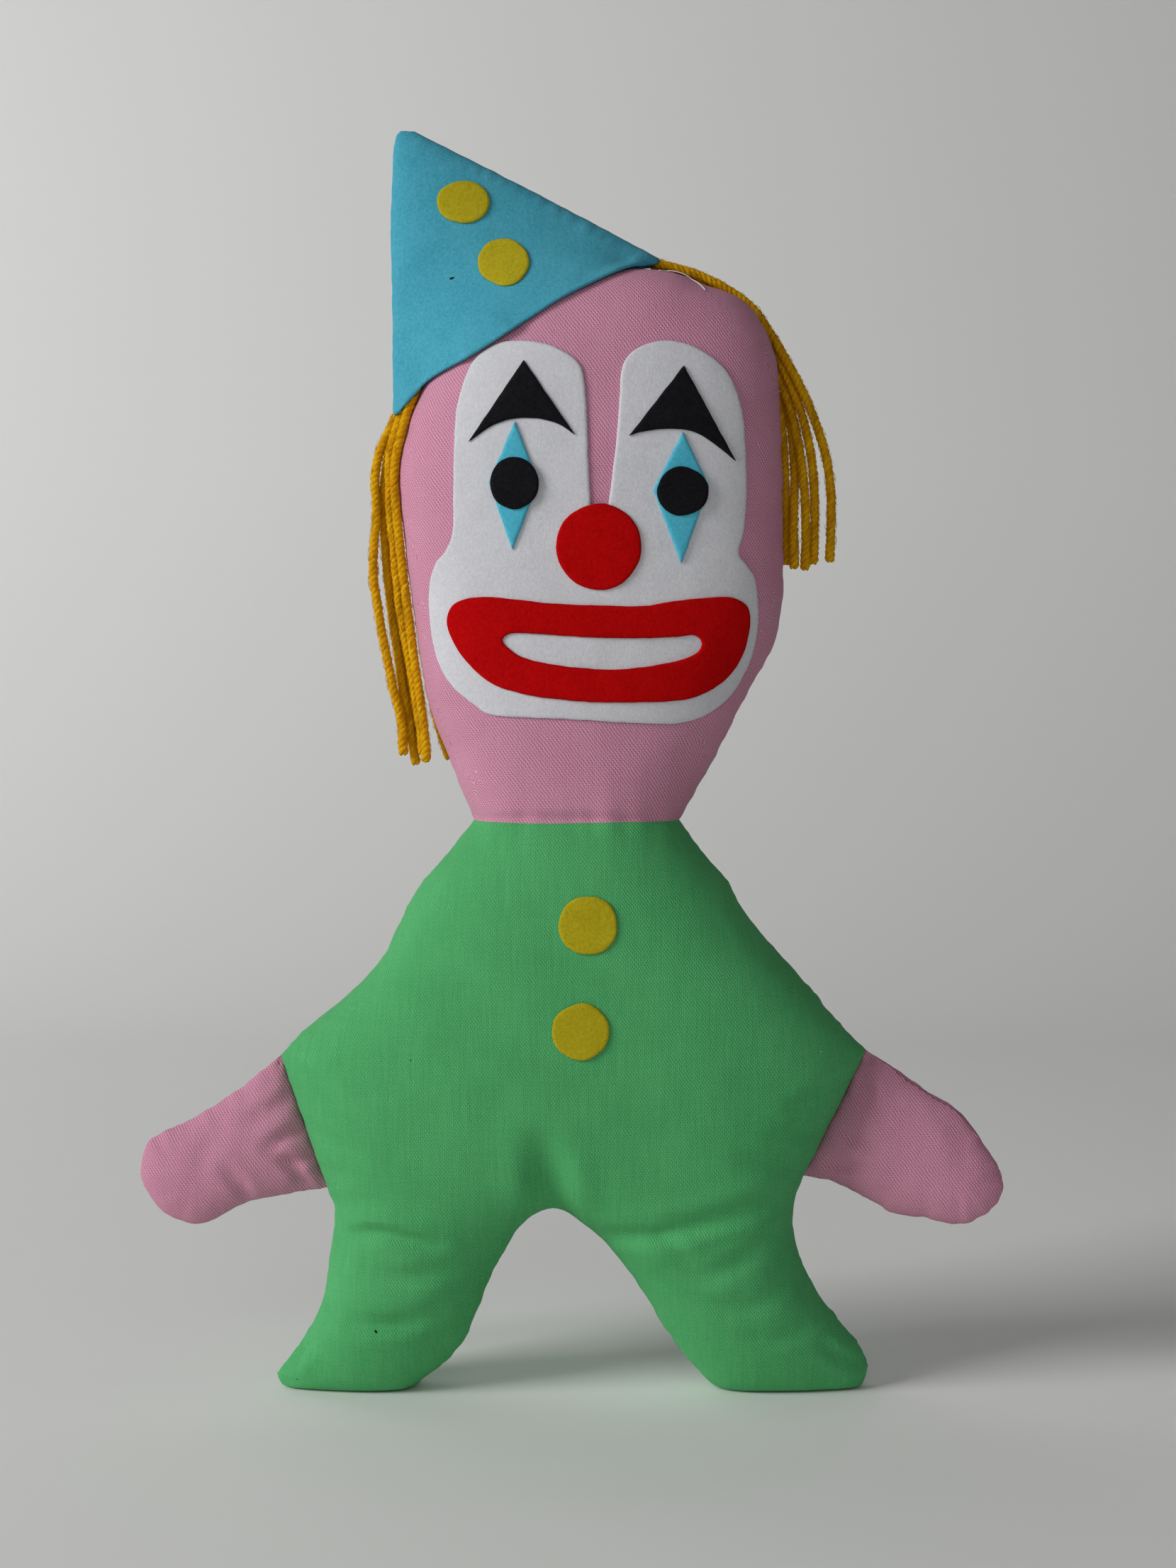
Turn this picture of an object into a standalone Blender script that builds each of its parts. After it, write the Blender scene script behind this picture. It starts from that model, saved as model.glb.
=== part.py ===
"""A stuffed clown doll sewn from cotton cloth, felt and yarn, standing at rest.

Metres, +Z up, the face looks along -Y, so the doll's own left side is +X. Each
outline below was picked by hand from a front view, in millimetres, on a doll
477 mm tall and 327 mm from mitt to mitt, and is stretched to the sizes here.
"""

import bmesh
import bpy
import numpy as np
from mathutils import Vector
from mathutils.bvhtree import BVHTree
from mathutils.geometry import delaunay_2d_cdt

height = 477.0  # sole to hat tip, mm
span = 327.0  # mitt to mitt, mm
fullness = 1.15  # how hard the head and body are stuffed
arm_fullness = 0.62  # the mitts hold much less
deepest = 48.0  # half thickness that no stuffing passes, mm
cloth = 0.8  # cotton cloth, mm
felt = 1.2  # felt, mm
yarn = 3.2  # plied yarn, across, mm
fit = 0.4  # air between cloth and stuffing, and between stacked felts, mm
seam = 0.3  # half of the slit between a front and a back panel, mm
hinge_gap = 0.5  # from a bending line to the solids on each side of it, mm
neck_slope = 20.0  # degrees that the head and the torso each draw back at the neck
hip_slope = 24.0  # the same at the hips
torso_arm_slope = 30.0  # the torso's side of a shoulder seam
arm_slope = 22.0  # the mitt's side of a shoulder seam
mesh_step = 13.0  # between grid points on the big panels, mm
view = (6.3, 229.0, 829.0)  # the front view's middle and how far off it was taken, mm

for obj in list(bpy.data.objects):
    bpy.data.objects.remove(obj, do_unlink=True)

tall = height / 477.0
wide = span / 327.0

# Colour and roughness.
paints = {
    "pink_cotton": ((0.62, 0.31, 0.42), 0.85),
    "green_cotton": ((0.08, 0.46, 0.15), 0.85),
    "white_felt": ((0.78, 0.78, 0.82), 0.95),
    "black_felt": ((0.01, 0.01, 0.011), 0.95),
    "blue_felt": ((0.09, 0.48, 0.64), 0.95),
    "red_felt": ((0.46, 0.005, 0.005), 0.95),
    "yellow_felt": ((0.5, 0.42, 0.03), 0.95),
    "yarn": ((0.66, 0.27, 0.004), 0.9),
    "filling": ((0.8, 0.79, 0.75), 1.0),
}
bodies = {}


def at(x, z):
    return (x * wide, z * tall)


def scaled(points):
    return [at(x, z) for x, z in points]


def along(points, step, closed=False):
    """Points about `step` apart on a Catmull-Rom curve through `points`, without its last point."""
    p = np.array(points, float)
    if closed:
        p = np.vstack([p[-1:], p, p[:2]])
    elif len(p) == 2:
        p = np.vstack([p[0], p[0], p[1], p[1]])
    else:
        p = np.vstack([2 * p[0] - p[1], p, 2 * p[-1] - p[-2]])
    dense = []
    for i in range(1, len(p) - 2):
        a, b, c, d = p[i - 1], p[i], p[i + 1], p[i + 2]
        for t in np.linspace(0, 1, 16, endpoint=False):
            dense.append(
                0.5
                * (
                    2 * b
                    + (c - a) * t
                    + (2 * a - 5 * b + 4 * c - d) * t**2
                    + (3 * b - a - 3 * c + d) * t**3
                )
            )
    dense.append(p[-2])
    dense = np.array(dense)
    far = np.concatenate(
        [[0], np.cumsum(np.linalg.norm(np.diff(dense, axis=0), axis=1))]
    )
    count = max(1, round(far[-1] / step))
    marks = np.linspace(0, far[-1], count + 1)[:-1]
    return [(np.interp(m, far, dense[:, 0]), np.interp(m, far, dense[:, 1])) for m in marks]


def outline(runs, step):
    """A closed outline from smooth runs that meet at corners."""
    found = []
    for run in runs:
        found += along(scaled(run), step)
    return found


def ring(points, step):
    return along(scaled(points), step, closed=True)


def disc(x, z, across, high, count):
    """A felt disc keeps its own size when the doll is stretched."""
    x, z = at(x, z)
    turn = np.linspace(0, 2 * np.pi, count, endpoint=False)
    return [(x + across * np.cos(a), z + high * np.sin(a)) for a in turn]


def inside(points, loop):
    x, z = np.asarray(points, float).T
    found = np.zeros(len(x), bool)
    for (ax, az), (bx, bz) in zip(loop, loop[1:] + loop[:1]):
        if az == bz:
            continue
        crosses = (az > z) != (bz > z)
        found ^= crosses & (x < (bx - ax) * (z - az) / (bz - az) + ax)
    return found


def from_line(points, a, b):
    """Distance of each point from the segment a to b."""
    points, a, b = np.asarray(points, float), np.array(a), np.array(b)
    t = np.clip((points - a) @ (b - a) / ((b - a) @ (b - a)), 0, 1)
    return np.linalg.norm(points - a - t[:, None] * (b - a), axis=1)


def plan(loop, step, holes=(), lines=(), puffed=False):
    """Triangles over a flat outline: points as (x, z) and faces."""
    points, edges = [], []
    for one in [loop, *holes]:
        first = len(points)
        points += one
        edges += [(first + i, first + (i + 1) % len(one)) for i in range(len(one))]
    for a, b in lines:
        inner = along([a, b], step) + [b]
        first = len(points)
        points += inner
        edges += [(first + i, first + i + 1) for i in range(len(inner) - 1)]
    low, high = np.min(loop, axis=0), np.max(loop, axis=0)
    row = step * 0.866
    grid = [
        (low[0] + step * (i + 0.5 * (j % 2)), low[1] + row * j)
        for j in range(int((high[1] - low[1]) / row) + 2)
        for i in range(int((high[0] - low[0]) / step) + 2)
    ]
    grid = np.array(grid)
    keep = inside(grid, loop)
    for hole in holes:
        keep &= ~inside(grid, hole)
    grid = grid[keep]
    for a, b in edges:
        grid = grid[from_line(grid, points[a], points[b]) > 0.62 * step]
    points += [tuple(p) for p in grid]
    for _ in range(4):
        found = delaunay_2d_cdt([Vector(p) for p in points], edges, [], 0, 1e-4)
        flat = np.array([tuple(v) for v in found[0]])
        faces = np.array([f for f in found[2]])
        middle = flat[faces].mean(axis=1)
        keep = inside(middle, loop) & (sizes(flat, faces) > 1e-3)
        for hole in holes:
            keep &= ~inside(middle, hole)
        flat, faces = packed(flat, faces[keep])
        bridges = bridging(flat, faces, lines) if puffed else []
        if not bridges:
            break
        points += bridges
    return flat, faces


def sizes(flat, faces):
    """Area of each triangle. A straight run of the outline can leave ones with none."""
    a, b, c = (flat[faces[:, i]] for i in range(3))
    return 0.5 * abs((b - a)[:, 0] * (c - a)[:, 1] - (b - a)[:, 1] * (c - a)[:, 0])


def bridging(flat, faces, lines):
    """Middles of the edges that cross the inside from seam to seam, where a pillow would be pinched flat."""
    rim = rim_edges(faces)
    on_seam = np.zeros(len(flat), bool)
    on_seam[[i for edge in rim for i in edge]] = True
    on_line = [from_line(flat, a, b) < 1e-3 for a, b in lines]
    for one in on_line:
        on_seam |= one
    outer = {tuple(sorted(edge)) for edge in rim}
    found = set()
    for f in faces:
        for i in range(3):
            a, b = sorted((int(f[i]), int(f[(i + 1) % 3])))
            if on_seam[a] and on_seam[b] and (a, b) not in outer:
                if not any(one[a] and one[b] for one in on_line):
                    found.add((a, b))
    return [tuple((flat[a] + flat[b]) / 2) for a, b in sorted(found)]


def packed(flat, faces, *more):
    """The same faces with the unused points dropped, each face anticlockwise."""
    used, index = np.unique(faces, return_inverse=True)
    faces = index.reshape(faces.shape)
    flat = flat[used]
    a, b, c = (flat[faces[:, i]] for i in range(3))
    area = (b - a)[:, 0] * (c - a)[:, 1] - (b - a)[:, 1] * (c - a)[:, 0]
    faces = np.where((area < 0)[:, None], faces[:, ::-1], faces)
    return (flat, faces, *(m[used] for m in more))


def rim_edges(faces):
    """The edges that only one face has, in that face's order."""
    seen = {}
    for f in faces:
        for i in range(3):
            a, b = int(f[i]), int(f[(i + 1) % 3])
            if (b, a) in seen:
                del seen[(b, a)]
            else:
                seen[(a, b)] = True
    return list(seen)


def stuffed(flat, faces, full, most, fixed=None):
    """Half thickness at each point, as cloth blown out from a flat outline."""
    n = len(flat)
    stiff, load = np.zeros((n, n)), np.zeros(n)
    for f in faces:
        p = flat[f]
        area = 0.5 * abs(np.linalg.det(np.array([p[1] - p[0], p[2] - p[0]])))
        load[f] += area / 3
        for i in range(3):
            j, k = (i + 1) % 3, (i + 2) % 3
            u, v = p[j] - p[i], p[k] - p[i]
            cot = (u @ v) / (2 * area)
            a, b = f[j], f[k]
            stiff[a, b] -= cot / 2
            stiff[b, a] -= cot / 2
            stiff[a, a] += cot / 2
            stiff[b, b] += cot / 2
    if fixed is None:
        fixed = {i for edge in rim_edges(faces) for i in edge}
    free = np.array(sorted(set(range(n)) - set(fixed)))
    lift = np.zeros(n)
    lift[free] = np.linalg.solve(stiff[np.ix_(free, free)], load[free])
    rise = full * np.sqrt(np.maximum(lift, 0)) / most
    return most * rise / np.sqrt(1 + rise**2)


def body_part(flat, faces, rise, keep, bends):
    """The faces that belong to one body, drawn back from each line it bends at."""
    flat, faces, rise = packed(flat, faces[keep], rise)
    flat = flat.copy()
    rim = sorted({i for edge in rim_edges(faces) for i in edge})
    for a, b, slope in bends:
        a, b = np.array(a), np.array(b)
        normal = np.array([-(b - a)[1], (b - a)[0]]) / np.linalg.norm(b - a)
        on_line = from_line(flat, a, b) < 1e-3
        flat[on_line] += normal * hinge_gap
        away = (flat - a) @ normal
        rise = np.minimum(rise, np.maximum(away, 0) / np.tan(np.radians(slope)))
    rise = np.maximum(rise, seam)
    rise[rim] = seam
    return flat, faces, rise


def surface(flat, rise, side):
    """3-D points of one side. What hangs below the floor folds flat onto it."""
    return np.column_stack([flat[:, 0], side * rise, np.maximum(flat[:, 1], 0)])


def inward(points, flat, faces, rise, side):
    """For each point, the step that goes 1 mm into the solid."""
    a, b, c = (points[faces[:, i]] for i in range(3))
    face = np.cross(b - a, c - a) * (1 if side < 0 else -1)
    area = np.linalg.norm(face, axis=1)
    unit = face / np.maximum(area, 1e-12)[:, None]
    normal = np.zeros_like(points)
    for i in range(3):
        np.add.at(normal, faces[:, i], face)
    normal /= np.linalg.norm(normal, axis=1)[:, None]
    share, weight = np.zeros(len(points)), np.zeros(len(points))
    for i in range(3):
        lean = (unit * normal[faces[:, i]]).sum(axis=1)
        np.add.at(share, faces[:, i], lean * area)
        np.add.at(weight, faces[:, i], area)
    step = -normal / np.maximum(share / weight, 0.7)[:, None]
    rim = rim_edges(faces)
    before, after = {b: a for a, b in rim}, dict(rim)
    for i in after:
        if rise[i] > seam + 1e-6:
            step[i] = -normal[i]
            continue
        # A seam point goes in along the corner's bisector, far enough for a mitre.
        ways = []
        for p, q in ((before[i], i), (i, after[i])):
            edge = flat[q] - flat[p]
            ways.append(np.array([-edge[1], 0, edge[0]]) / np.linalg.norm(edge))
        way = (ways[0] + ways[1]) / np.linalg.norm(ways[0] + ways[1])
        steep = max(np.linalg.norm(normal[i] * [1, 0, 1]), 0.8)
        step[i] = way / max(way @ ways[0], 0.35) / steep
        if flat[i, 1] < 0:
            step[i, 2] = max(step[i, 2], 0.8)
    return step


def add_body(name, x, z, parent=None):
    """An empty on the line that a body bends at; every piece of the body hangs from it."""
    empty = bpy.data.objects.new(name + "_body", None)
    empty.empty_display_size = 0.02
    bpy.context.scene.collection.objects.link(empty)
    spot = Vector((x * 0.001, 0, z * 0.001))
    empty.parent = parent and bodies[parent][0]
    empty.location = spot - (bodies[parent][1] if parent else Vector())
    bodies[name] = (empty, spot)


def hang(obj, body, paint):
    """Puts an object on its body and gives it its own material."""
    obj.parent = bodies[body][0]
    color, rough = paints[paint]
    material = bpy.data.materials.new(obj.name)
    material.use_nodes = True
    material.diffuse_color = (*color, 1)
    shader = material.node_tree.nodes["Principled BSDF"]
    shader.inputs["Base Color"].default_value = (*color, 1)
    shader.inputs["Roughness"].default_value = rough
    shader.inputs["Metallic"].default_value = 0.0
    obj.data.materials.append(material)
    bpy.context.scene.collection.objects.link(obj)


def add_solid(name, points, faces, body, paint):
    mesh = bpy.data.meshes.new(name)
    start = np.array(bodies[body][1])
    mesh.from_pydata(
        [tuple(p * 0.001 - start) for p in points], [], [tuple(int(i) for i in f) for f in faces]
    )
    shape = bmesh.new()
    shape.from_mesh(mesh)
    bmesh.ops.recalc_face_normals(shape, faces=shape.faces)
    shape.to_mesh(mesh)
    shape.free()
    mesh.shade_smooth()
    mesh.set_sharp_from_angle(angle=np.radians(40))
    hang(bpy.data.objects.new(name, mesh), body, paint)


def add_panel(name, part, side, body, paint):
    """One sheet of cloth, and what its outer face looks like to the next layer."""
    flat, faces, rise = part
    outer = surface(flat, rise, side)
    inner = outer + inward(outer, flat, faces, rise, side) * cloth
    n = len(outer)
    sides = [(a, b, b + n, a + n) for a, b in rim_edges(faces)]
    add_solid(name, np.vstack([outer, inner]), [*faces, *(faces[:, ::-1] + n), *sides], body, paint)
    return BVHTree.FromPolygons([Vector(p) for p in outer], [list(map(int, f)) for f in faces])


def add_stuffing(name, part, body):
    flat, faces, rise = part
    both, n = [], len(flat)
    for side in (-1, 1):
        outer = surface(flat, rise, side)
        both.append(outer + inward(outer, flat, faces, rise, side) * (cloth + fit))
    sides = [(a, b, b + n, a + n) for a, b in rim_edges(faces)]
    add_solid(name, np.vstack(both), [*faces, *(faces[:, ::-1] + n), *sides], body, "filling")


def add_pair(name, part, body, paint):
    """A front panel, a back panel and what fills them."""
    front = add_panel(name + "_front_panel", part, -1, body, paint)
    back = add_panel(name + "_back_panel", part, 1, body, paint)
    add_stuffing(name + "_stuffing", part, body)
    return front, back


def under(x, z, side, layers):
    """How far out the layers below reach near this point, or None."""
    reach = None
    for dx, dz in ((0, 0), (0.9, 0), (-0.9, 0), (0, 0.9), (0, -0.9)):
        for layer in layers:
            hit = layer.ray_cast(Vector((x + dx, side * 300, z + dz)), Vector((0, -side, 0)))[0]
            if hit is not None and (reach is None or side * hit.y > reach):
                reach = side * hit.y
    return reach


def nearer(points, layers):
    """An outline on a raised surface looks bigger than it is, so it is drawn in towards the view's middle."""
    found = []
    for x, z in points:
        px, pz = x, z
        for _ in range(3):
            share = 1 - (under(px, pz, -1, layers) or 0.0) / view[2]
            px, pz = view[0] + (x - view[0]) * share, view[1] + (z - view[1]) * share
        found.append((px, pz))
    return found


def add_felt(name, flat, faces, side, layers, paint, body="head", rise=None):
    """A sheet of felt laid over the layers below it, lifted wherever it would cut into one."""
    start = np.full(len(flat), 2 * seam) if rise is None else rise.copy()
    sewn = start <= seam + 1e-6
    for i, (x, z) in enumerate(flat):
        reach = under(x, z, side, layers)
        if reach is not None and not sewn[i]:
            start[i] = max(start[i], reach + fit + felt * 1.15)
    rise = start
    parts = 5
    mix = np.array(
        [(i, j, parts - i - j) for i in range(parts + 1) for j in range(parts + 1 - i)]
    ) / parts
    for _ in range(8):
        outer = surface(flat, rise, side)
        inner = outer + inward(outer, flat, faces, rise, side) * felt
        lift = np.zeros(len(flat))
        for f in faces:
            for p in mix @ inner[f]:
                reach = under(p[0], p[2], side, layers)
                if reach is not None:
                    lift[f] = np.maximum(lift[f], reach + fit * 0.8 - side * p[1])
        lift[sewn] = 0
        if lift.max() < 0.02:
            break
        rise = rise + lift
    n = len(flat)
    outer = surface(flat, rise, side)
    inner = outer + inward(outer, flat, faces, rise, side) * felt
    sides = [(a, b, b + n, a + n) for a, b in rim_edges(faces)]
    add_solid(name, np.vstack([outer, inner]), [*faces, *(faces[:, ::-1] + n), *sides], body, paint)
    return BVHTree.FromPolygons([Vector(p) for p in outer], [list(map(int, f)) for f in faces])


def laid(points, surfaces, others):
    """Centre line of a strand, moved off whatever surface or earlier strand it would cut into."""
    flat = along([(x * wide, z * tall) for x, z, _ in points], 7.0)
    flat.append((points[-1][0] * wide, points[-1][1] * tall))
    heights = [z * tall for _, z, _ in points][::-1]
    depths = [y for _, _, y in points][::-1]
    line = np.array([(x, np.interp(z, heights, depths), z) for x, z in flat])
    apart, off = yarn + fit, yarn / 2 + 2.5 * fit
    for _ in range(40):
        moved = 0.0
        for i, p in enumerate(line):
            for tree, side in surfaces:
                hit, normal, _, far = tree.find_nearest(Vector(p))
                over = tree.ray_cast(Vector((p[0], side * 300, p[2])), Vector((0, -side, 0)))[0]
                sunk = over is not None and -0.5 < side * p[1] < side * over.y
                if sunk:
                    way, gap = np.array(normal) * (1 if side < 0 else -1), -far
                else:
                    way, gap = (p - np.array(hit)) / far, far
                if gap < off:
                    p = p + way * (off - gap)
                    moved = max(moved, off - gap)
            for other in others:
                a, b = other[:-1], other[1:]
                t = ((p - a) * (b - a)).sum(axis=1) / ((b - a) ** 2).sum(axis=1)
                near = a + np.clip(t, 0, 1)[:, None] * (b - a)
                gaps = np.linalg.norm(p - near, axis=1)
                k = int(gaps.argmin())
                if gaps[k] < apart:
                    p = p + (p - near[k]) / gaps[k] * (apart - gaps[k])
                    moved = max(moved, apart - gaps[k])
            line[i] = p
        if moved < 0.02:
            break
    return line


def add_strand(name, line, body):
    curve = bpy.data.curves.new(name, "CURVE")
    curve.dimensions = "3D"
    curve.bevel_depth = yarn / 2 * 0.001
    curve.bevel_resolution = 2
    curve.use_fill_caps = True
    spline = curve.splines.new("POLY")
    spline.points.add(len(line) - 1)
    for point, p in zip(spline.points, line):
        point.co = (*(p * 0.001 - np.array(bodies[body][1])), 1)
    hang(bpy.data.objects.new(name, curve), body, "yarn")


# Points where bodies meet. A hip line and the neck line lie level.
neck_right, neck_left = (-37, 215.5), (41, 215.5)
arm_right_top, arm_right_low = (-110.5, 126), (-92.5, 75.5)
arm_left_top, arm_left_low = (112, 128), (88, 80)
hip_right_out, hip_right_in = (-90, 62), (-19, 62)
hip_left_in, hip_left_out = (5, 62), (84, 62)

# The head, the torso and the legs share one blown-out shape, cut at the neck and hips.
shape = [
    [
        neck_right, (-41, 225), (-46, 238), (-54, 259), (-59, 288), (-63, 318),
        (-66, 345), (-64, 358), (-59, 374), (-50, 391), (-36, 406), (-18, 417),
        (4, 423), (24, 424.5), (40, 422.5), (50, 418.5), (60, 415.5), (67, 411),
        (73, 403), (78, 389), (79, 374), (80, 350), (80.5, 310), (79.5, 293),
        (76, 280), (66, 262), (56, 242), (47, 226), neck_left,
    ],
    [neck_left, (48, 206), (58, 194), (70, 175), (86, 157), (104, 136), arm_left_top],
    [arm_left_top, arm_left_low],
    [arm_left_low, (84.5, 71), hip_left_out],
    [hip_left_out, (87, 49), (94, 35), (102, 25), (109, 16), (113, 8)],
    [(113, 8), (110, 0), (104, -12)],
    [(104, -12), (60, -12)],
    [(60, -12), (53, 0), (46, 8.5), (40, 16), (32, 28), (24, 41), (14, 54), hip_left_in],
    [hip_left_in, (0, 66), (-7, 68), (-14, 66), hip_right_in],
    [hip_right_in, (-24, 54), (-31, 41), (-36, 28), (-42, 16), (-50, 7.5), (-60, 0), (-66, -12)],
    [(-66, -12), (-104, -12)],
    [(-104, -12), (-109, 0), (-112, 5)],
    [(-112, 5), (-105, 14), (-99, 23), (-94, 35), (-92, 49), hip_right_out],
    [hip_right_out, (-90, 69), arm_right_low],
    [arm_right_low, arm_right_top],
    [
        arm_right_top, (-101, 136), (-84, 150), (-72, 163), (-65, 177), (-58, 190),
        (-46, 204), neck_right,
    ],
]
neck = at(*neck_right)[1]
hip = at(*hip_right_out)[1]

hair_right_pin, hair_left_pin = (-64.8, 368.9), (34.9, 427.2)
add_body("torso", 0, 0)
add_body("head", *at(2, 215.5), "torso")
add_body("right_arm", *at(-101.5, 100.75), "torso")
add_body("left_arm", *at(100, 104), "torso")
add_body("right_leg", *at(-54.5, 62), "torso")
add_body("left_leg", *at(44.5, 62), "torso")
add_body("right_hair", *at(*hair_right_pin), "head")
add_body("left_hair", *at(*hair_left_pin), "head")

flat, faces = plan(
    outline(shape, 10.0),
    mesh_step,
    lines=[
        (at(*neck_right), at(*neck_left)),
        (at(*hip_right_out), at(*hip_right_in)),
        (at(*hip_left_in), at(*hip_left_out)),
    ],
    puffed=True,
)
rise = stuffed(flat, faces, fullness, deepest)
middle = flat[faces].mean(axis=1)

head = body_part(
    flat, faces, rise, middle[:, 1] > neck, [(at(*neck_right), at(*neck_left), neck_slope)]
)
torso = body_part(
    flat,
    faces,
    rise,
    (middle[:, 1] < neck) & (middle[:, 1] > hip),
    [
        (at(*neck_left), at(*neck_right), neck_slope),
        (at(*hip_right_out), at(*hip_right_in), hip_slope),
        (at(*hip_left_in), at(*hip_left_out), hip_slope),
        (at(*arm_right_top), at(*arm_right_low), torso_arm_slope),
        (at(*arm_left_low), at(*arm_left_top), torso_arm_slope),
    ],
)
leg_right = body_part(
    flat,
    faces,
    rise,
    (middle[:, 1] < hip) & (middle[:, 0] < at(-7, 0)[0]),
    [(at(*hip_right_in), at(*hip_right_out), hip_slope)],
)
leg_left = body_part(
    flat,
    faces,
    rise,
    (middle[:, 1] < hip) & (middle[:, 0] > at(-7, 0)[0]),
    [(at(*hip_left_out), at(*hip_left_in), hip_slope)],
)

head_front, head_back = add_pair("head", head, "head", "pink_cotton")
torso_front, _ = add_pair("torso", torso, "torso", "green_cotton")
add_pair("leg_right", leg_right, "right_leg", "green_cotton")
add_pair("leg_left", leg_left, "left_leg", "green_cotton")

# The mitts are flatter, and are caught in the side seams.
mitt_right = [
    [
        arm_right_top, (-126.5, 113), (-142, 103), (-153.5, 97.5), (-161, 93), (-164, 82),
        (-159.5, 71), (-150.5, 63.5), (-139, 62), (-124.5, 69.5), (-111, 72.5), arm_right_low,
    ],
    [arm_right_low, arm_right_top],
]
mitt_left = [
    [
        arm_left_low, (100, 77.5), (113.5, 71), (121.5, 66.5), (134.5, 64.5), (146.5, 62.5),
        (156, 66.5), (162, 72), (163, 79), (160, 87), (152, 99), (146, 106), (136, 112),
        (123, 121), arm_left_top,
    ],
    [arm_left_top, arm_left_low],
]
for name, body, runs, bend in (
    ("arm_right", "right_arm", mitt_right, (at(*arm_right_low), at(*arm_right_top), arm_slope)),
    ("arm_left", "left_arm", mitt_left, (at(*arm_left_top), at(*arm_left_low), arm_slope)),
):
    flat, faces = plan(outline(runs, 9.0), 11.0, puffed=True)
    rise = stuffed(flat, faces, arm_fullness, 30.0)
    mitt = body_part(flat, faces, rise, np.ones(len(faces), bool), [bend])
    add_pair(name, mitt, body, "pink_cotton")

# Felt for the face, each piece on top of the ones before it.
mask = ring(
    [
        (-28, 397), (-37, 391), (-42, 380), (-44.5, 367), (-45.2, 341), (-45.4, 326),
        (-48, 318), (-52, 313), (-54.5, 304), (-54, 288), (-51, 275), (-45.5, 266),
        (-37, 259), (-29, 255), (1, 253.5), (28, 252), (43, 252.3), (53, 256),
        (61, 262.5), (66, 270.5), (69.5, 279), (71.5, 291), (70.5, 306), (67, 312.5),
        (64, 317), (66, 326), (67, 341), (66.5, 358), (65.3, 371), (62, 381.5),
        (57, 389), (47, 395.7), (37.5, 398), (29.5, 397), (23, 393.5), (19.3, 387.5),
        (18.4, 377), (17.5, 365), (16.2, 352), (14.3, 337), (13.6, 330), (7.8, 330),
        (7.2, 337), (6.5, 352), (5.8, 371), (4.3, 386), (1.3, 391), (-5, 395),
        (-10.5, 397), (-18, 398),
    ],
    7.0,
)
mask = nearer(mask, [head_front])
mask_layer = add_felt("face_mask", *plan(mask, 12.0), -1, [head_front], "white_felt")
lips = ring(
    [
        (-47.7, 291), (-46, 296.5), (-41, 299.3), (-31, 300.2), (-8, 297.8), (10.4, 297),
        (27, 296.8), (40, 298.7), (53, 300), (61, 300), (66.5, 297.4), (68.3, 293),
        (67.8, 285.8), (65, 276.7), (59.4, 269), (50.4, 263.2), (40, 260.6), (13, 260),
        (-7.7, 261.5), (-20.6, 263.8), (-31, 267.5), (-40, 275.4), (-45.8, 284),
    ],
    7.5,
)
teeth = ring(
    [
        (-26.4, 284), (-23, 286.3), (-16, 286.3), (7.8, 284.8), (27, 284.5), (40, 285),
        (47, 285.6), (50, 282.5), (47.5, 278.6), (41, 276), (27.2, 273.5), (12.9, 272.6),
        (-5, 274.2), (-18, 277), (-24.5, 281),
    ],
    7.0,
)
face = [head_front, mask_layer]
lips, teeth = nearer(lips, face), nearer(teeth, face)
nose = nearer(disc(10.4, 319.5, 16.4, 16.4, 18), face)
add_felt("mouth", *plan(lips, 9.0, holes=[teeth]), -1, face, "red_felt")
add_felt("nose", *plan(nose, 9.0), -1, face, "red_felt")
brow_right = [
    [(-18.3, 390.7), (-39.4, 359.5)],
    [(-39.4, 359.5), (-31, 365.3), (-22, 368.3), (-13, 368.3), (-5, 366.3), (1.3, 362.1)],
    [(1.3, 362.1), (-18.3, 390.7)],
]
brow_left = [
    [(42.9, 388.6), (22, 361.8)],
    [(22, 361.8), (28.4, 363.6), (37.5, 364.4), (46.5, 363.4), (54.3, 358.8), (62.9, 352.1)],
    [(62.9, 352.1), (42.9, 388.6)],
]
diamond_right = [(-21.6, 367.2), (-31.6, 344), (-22.6, 318.2), (-12.5, 344)]
diamond_left = [(42.6, 363.2), (31.3, 341), (42, 313), (52.6, 342.5)]
for side_name, brow, diamond, pupil in (
    ("right", brow_right, diamond_right, (-21.9, 343.7, 9.4, 9.9)),
    ("left", brow_left, diamond_left, (42.4, 340.5, 9.8, 9.4)),
):
    brow = nearer(outline(brow, 8.0), face)
    add_felt("brow_" + side_name, *plan(brow, 9.0), -1, face, "black_felt")
    corners = list(zip(diamond, diamond[1:] + diamond[:1]))
    diamond = nearer(outline(corners, 9.0), face)
    pupil = nearer(disc(*pupil, 14), face)
    eye = add_felt("eye_diamond_" + side_name, *plan(diamond, 9.0), -1, face, "blue_felt")
    add_felt("pupil_" + side_name, *plan(pupil, 7.0), -1, [*face, eye], "black_felt")

# The hat: two felt triangles sewn along two sides, open below, pulled over the head.
hat_runs = [
    [(-67.1, 368.6), (-67.4, 410), (-68, 440), (-67, 471)],
    [(-67, 471), (-65.3, 476.5), (-60, 476.6)],
    [(-60, 476.6), (-10.3, 451.3), (34.3, 427.6)],
    [
        (34.3, 427.6), (20.7, 425.1), (7.8, 419.6), (-5, 413), (-18, 404.7),
        (-37.4, 392.4), (-53, 383.5), (-60, 376.5), (-67.1, 368.6),
    ],
]
flat, faces = plan(nearer(outline(hat_runs, 9.0), [head_front]), 12.0, puffed=True)
sewn = outline(hat_runs[:3], 9.0) + [at(34.3, 427.6)]
on_seam = {
    i
    for edge in rim_edges(faces)
    for i in edge
    if min(np.linalg.norm(flat[i] - p) for p in np.array(sewn)) < 0.01
}
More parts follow.
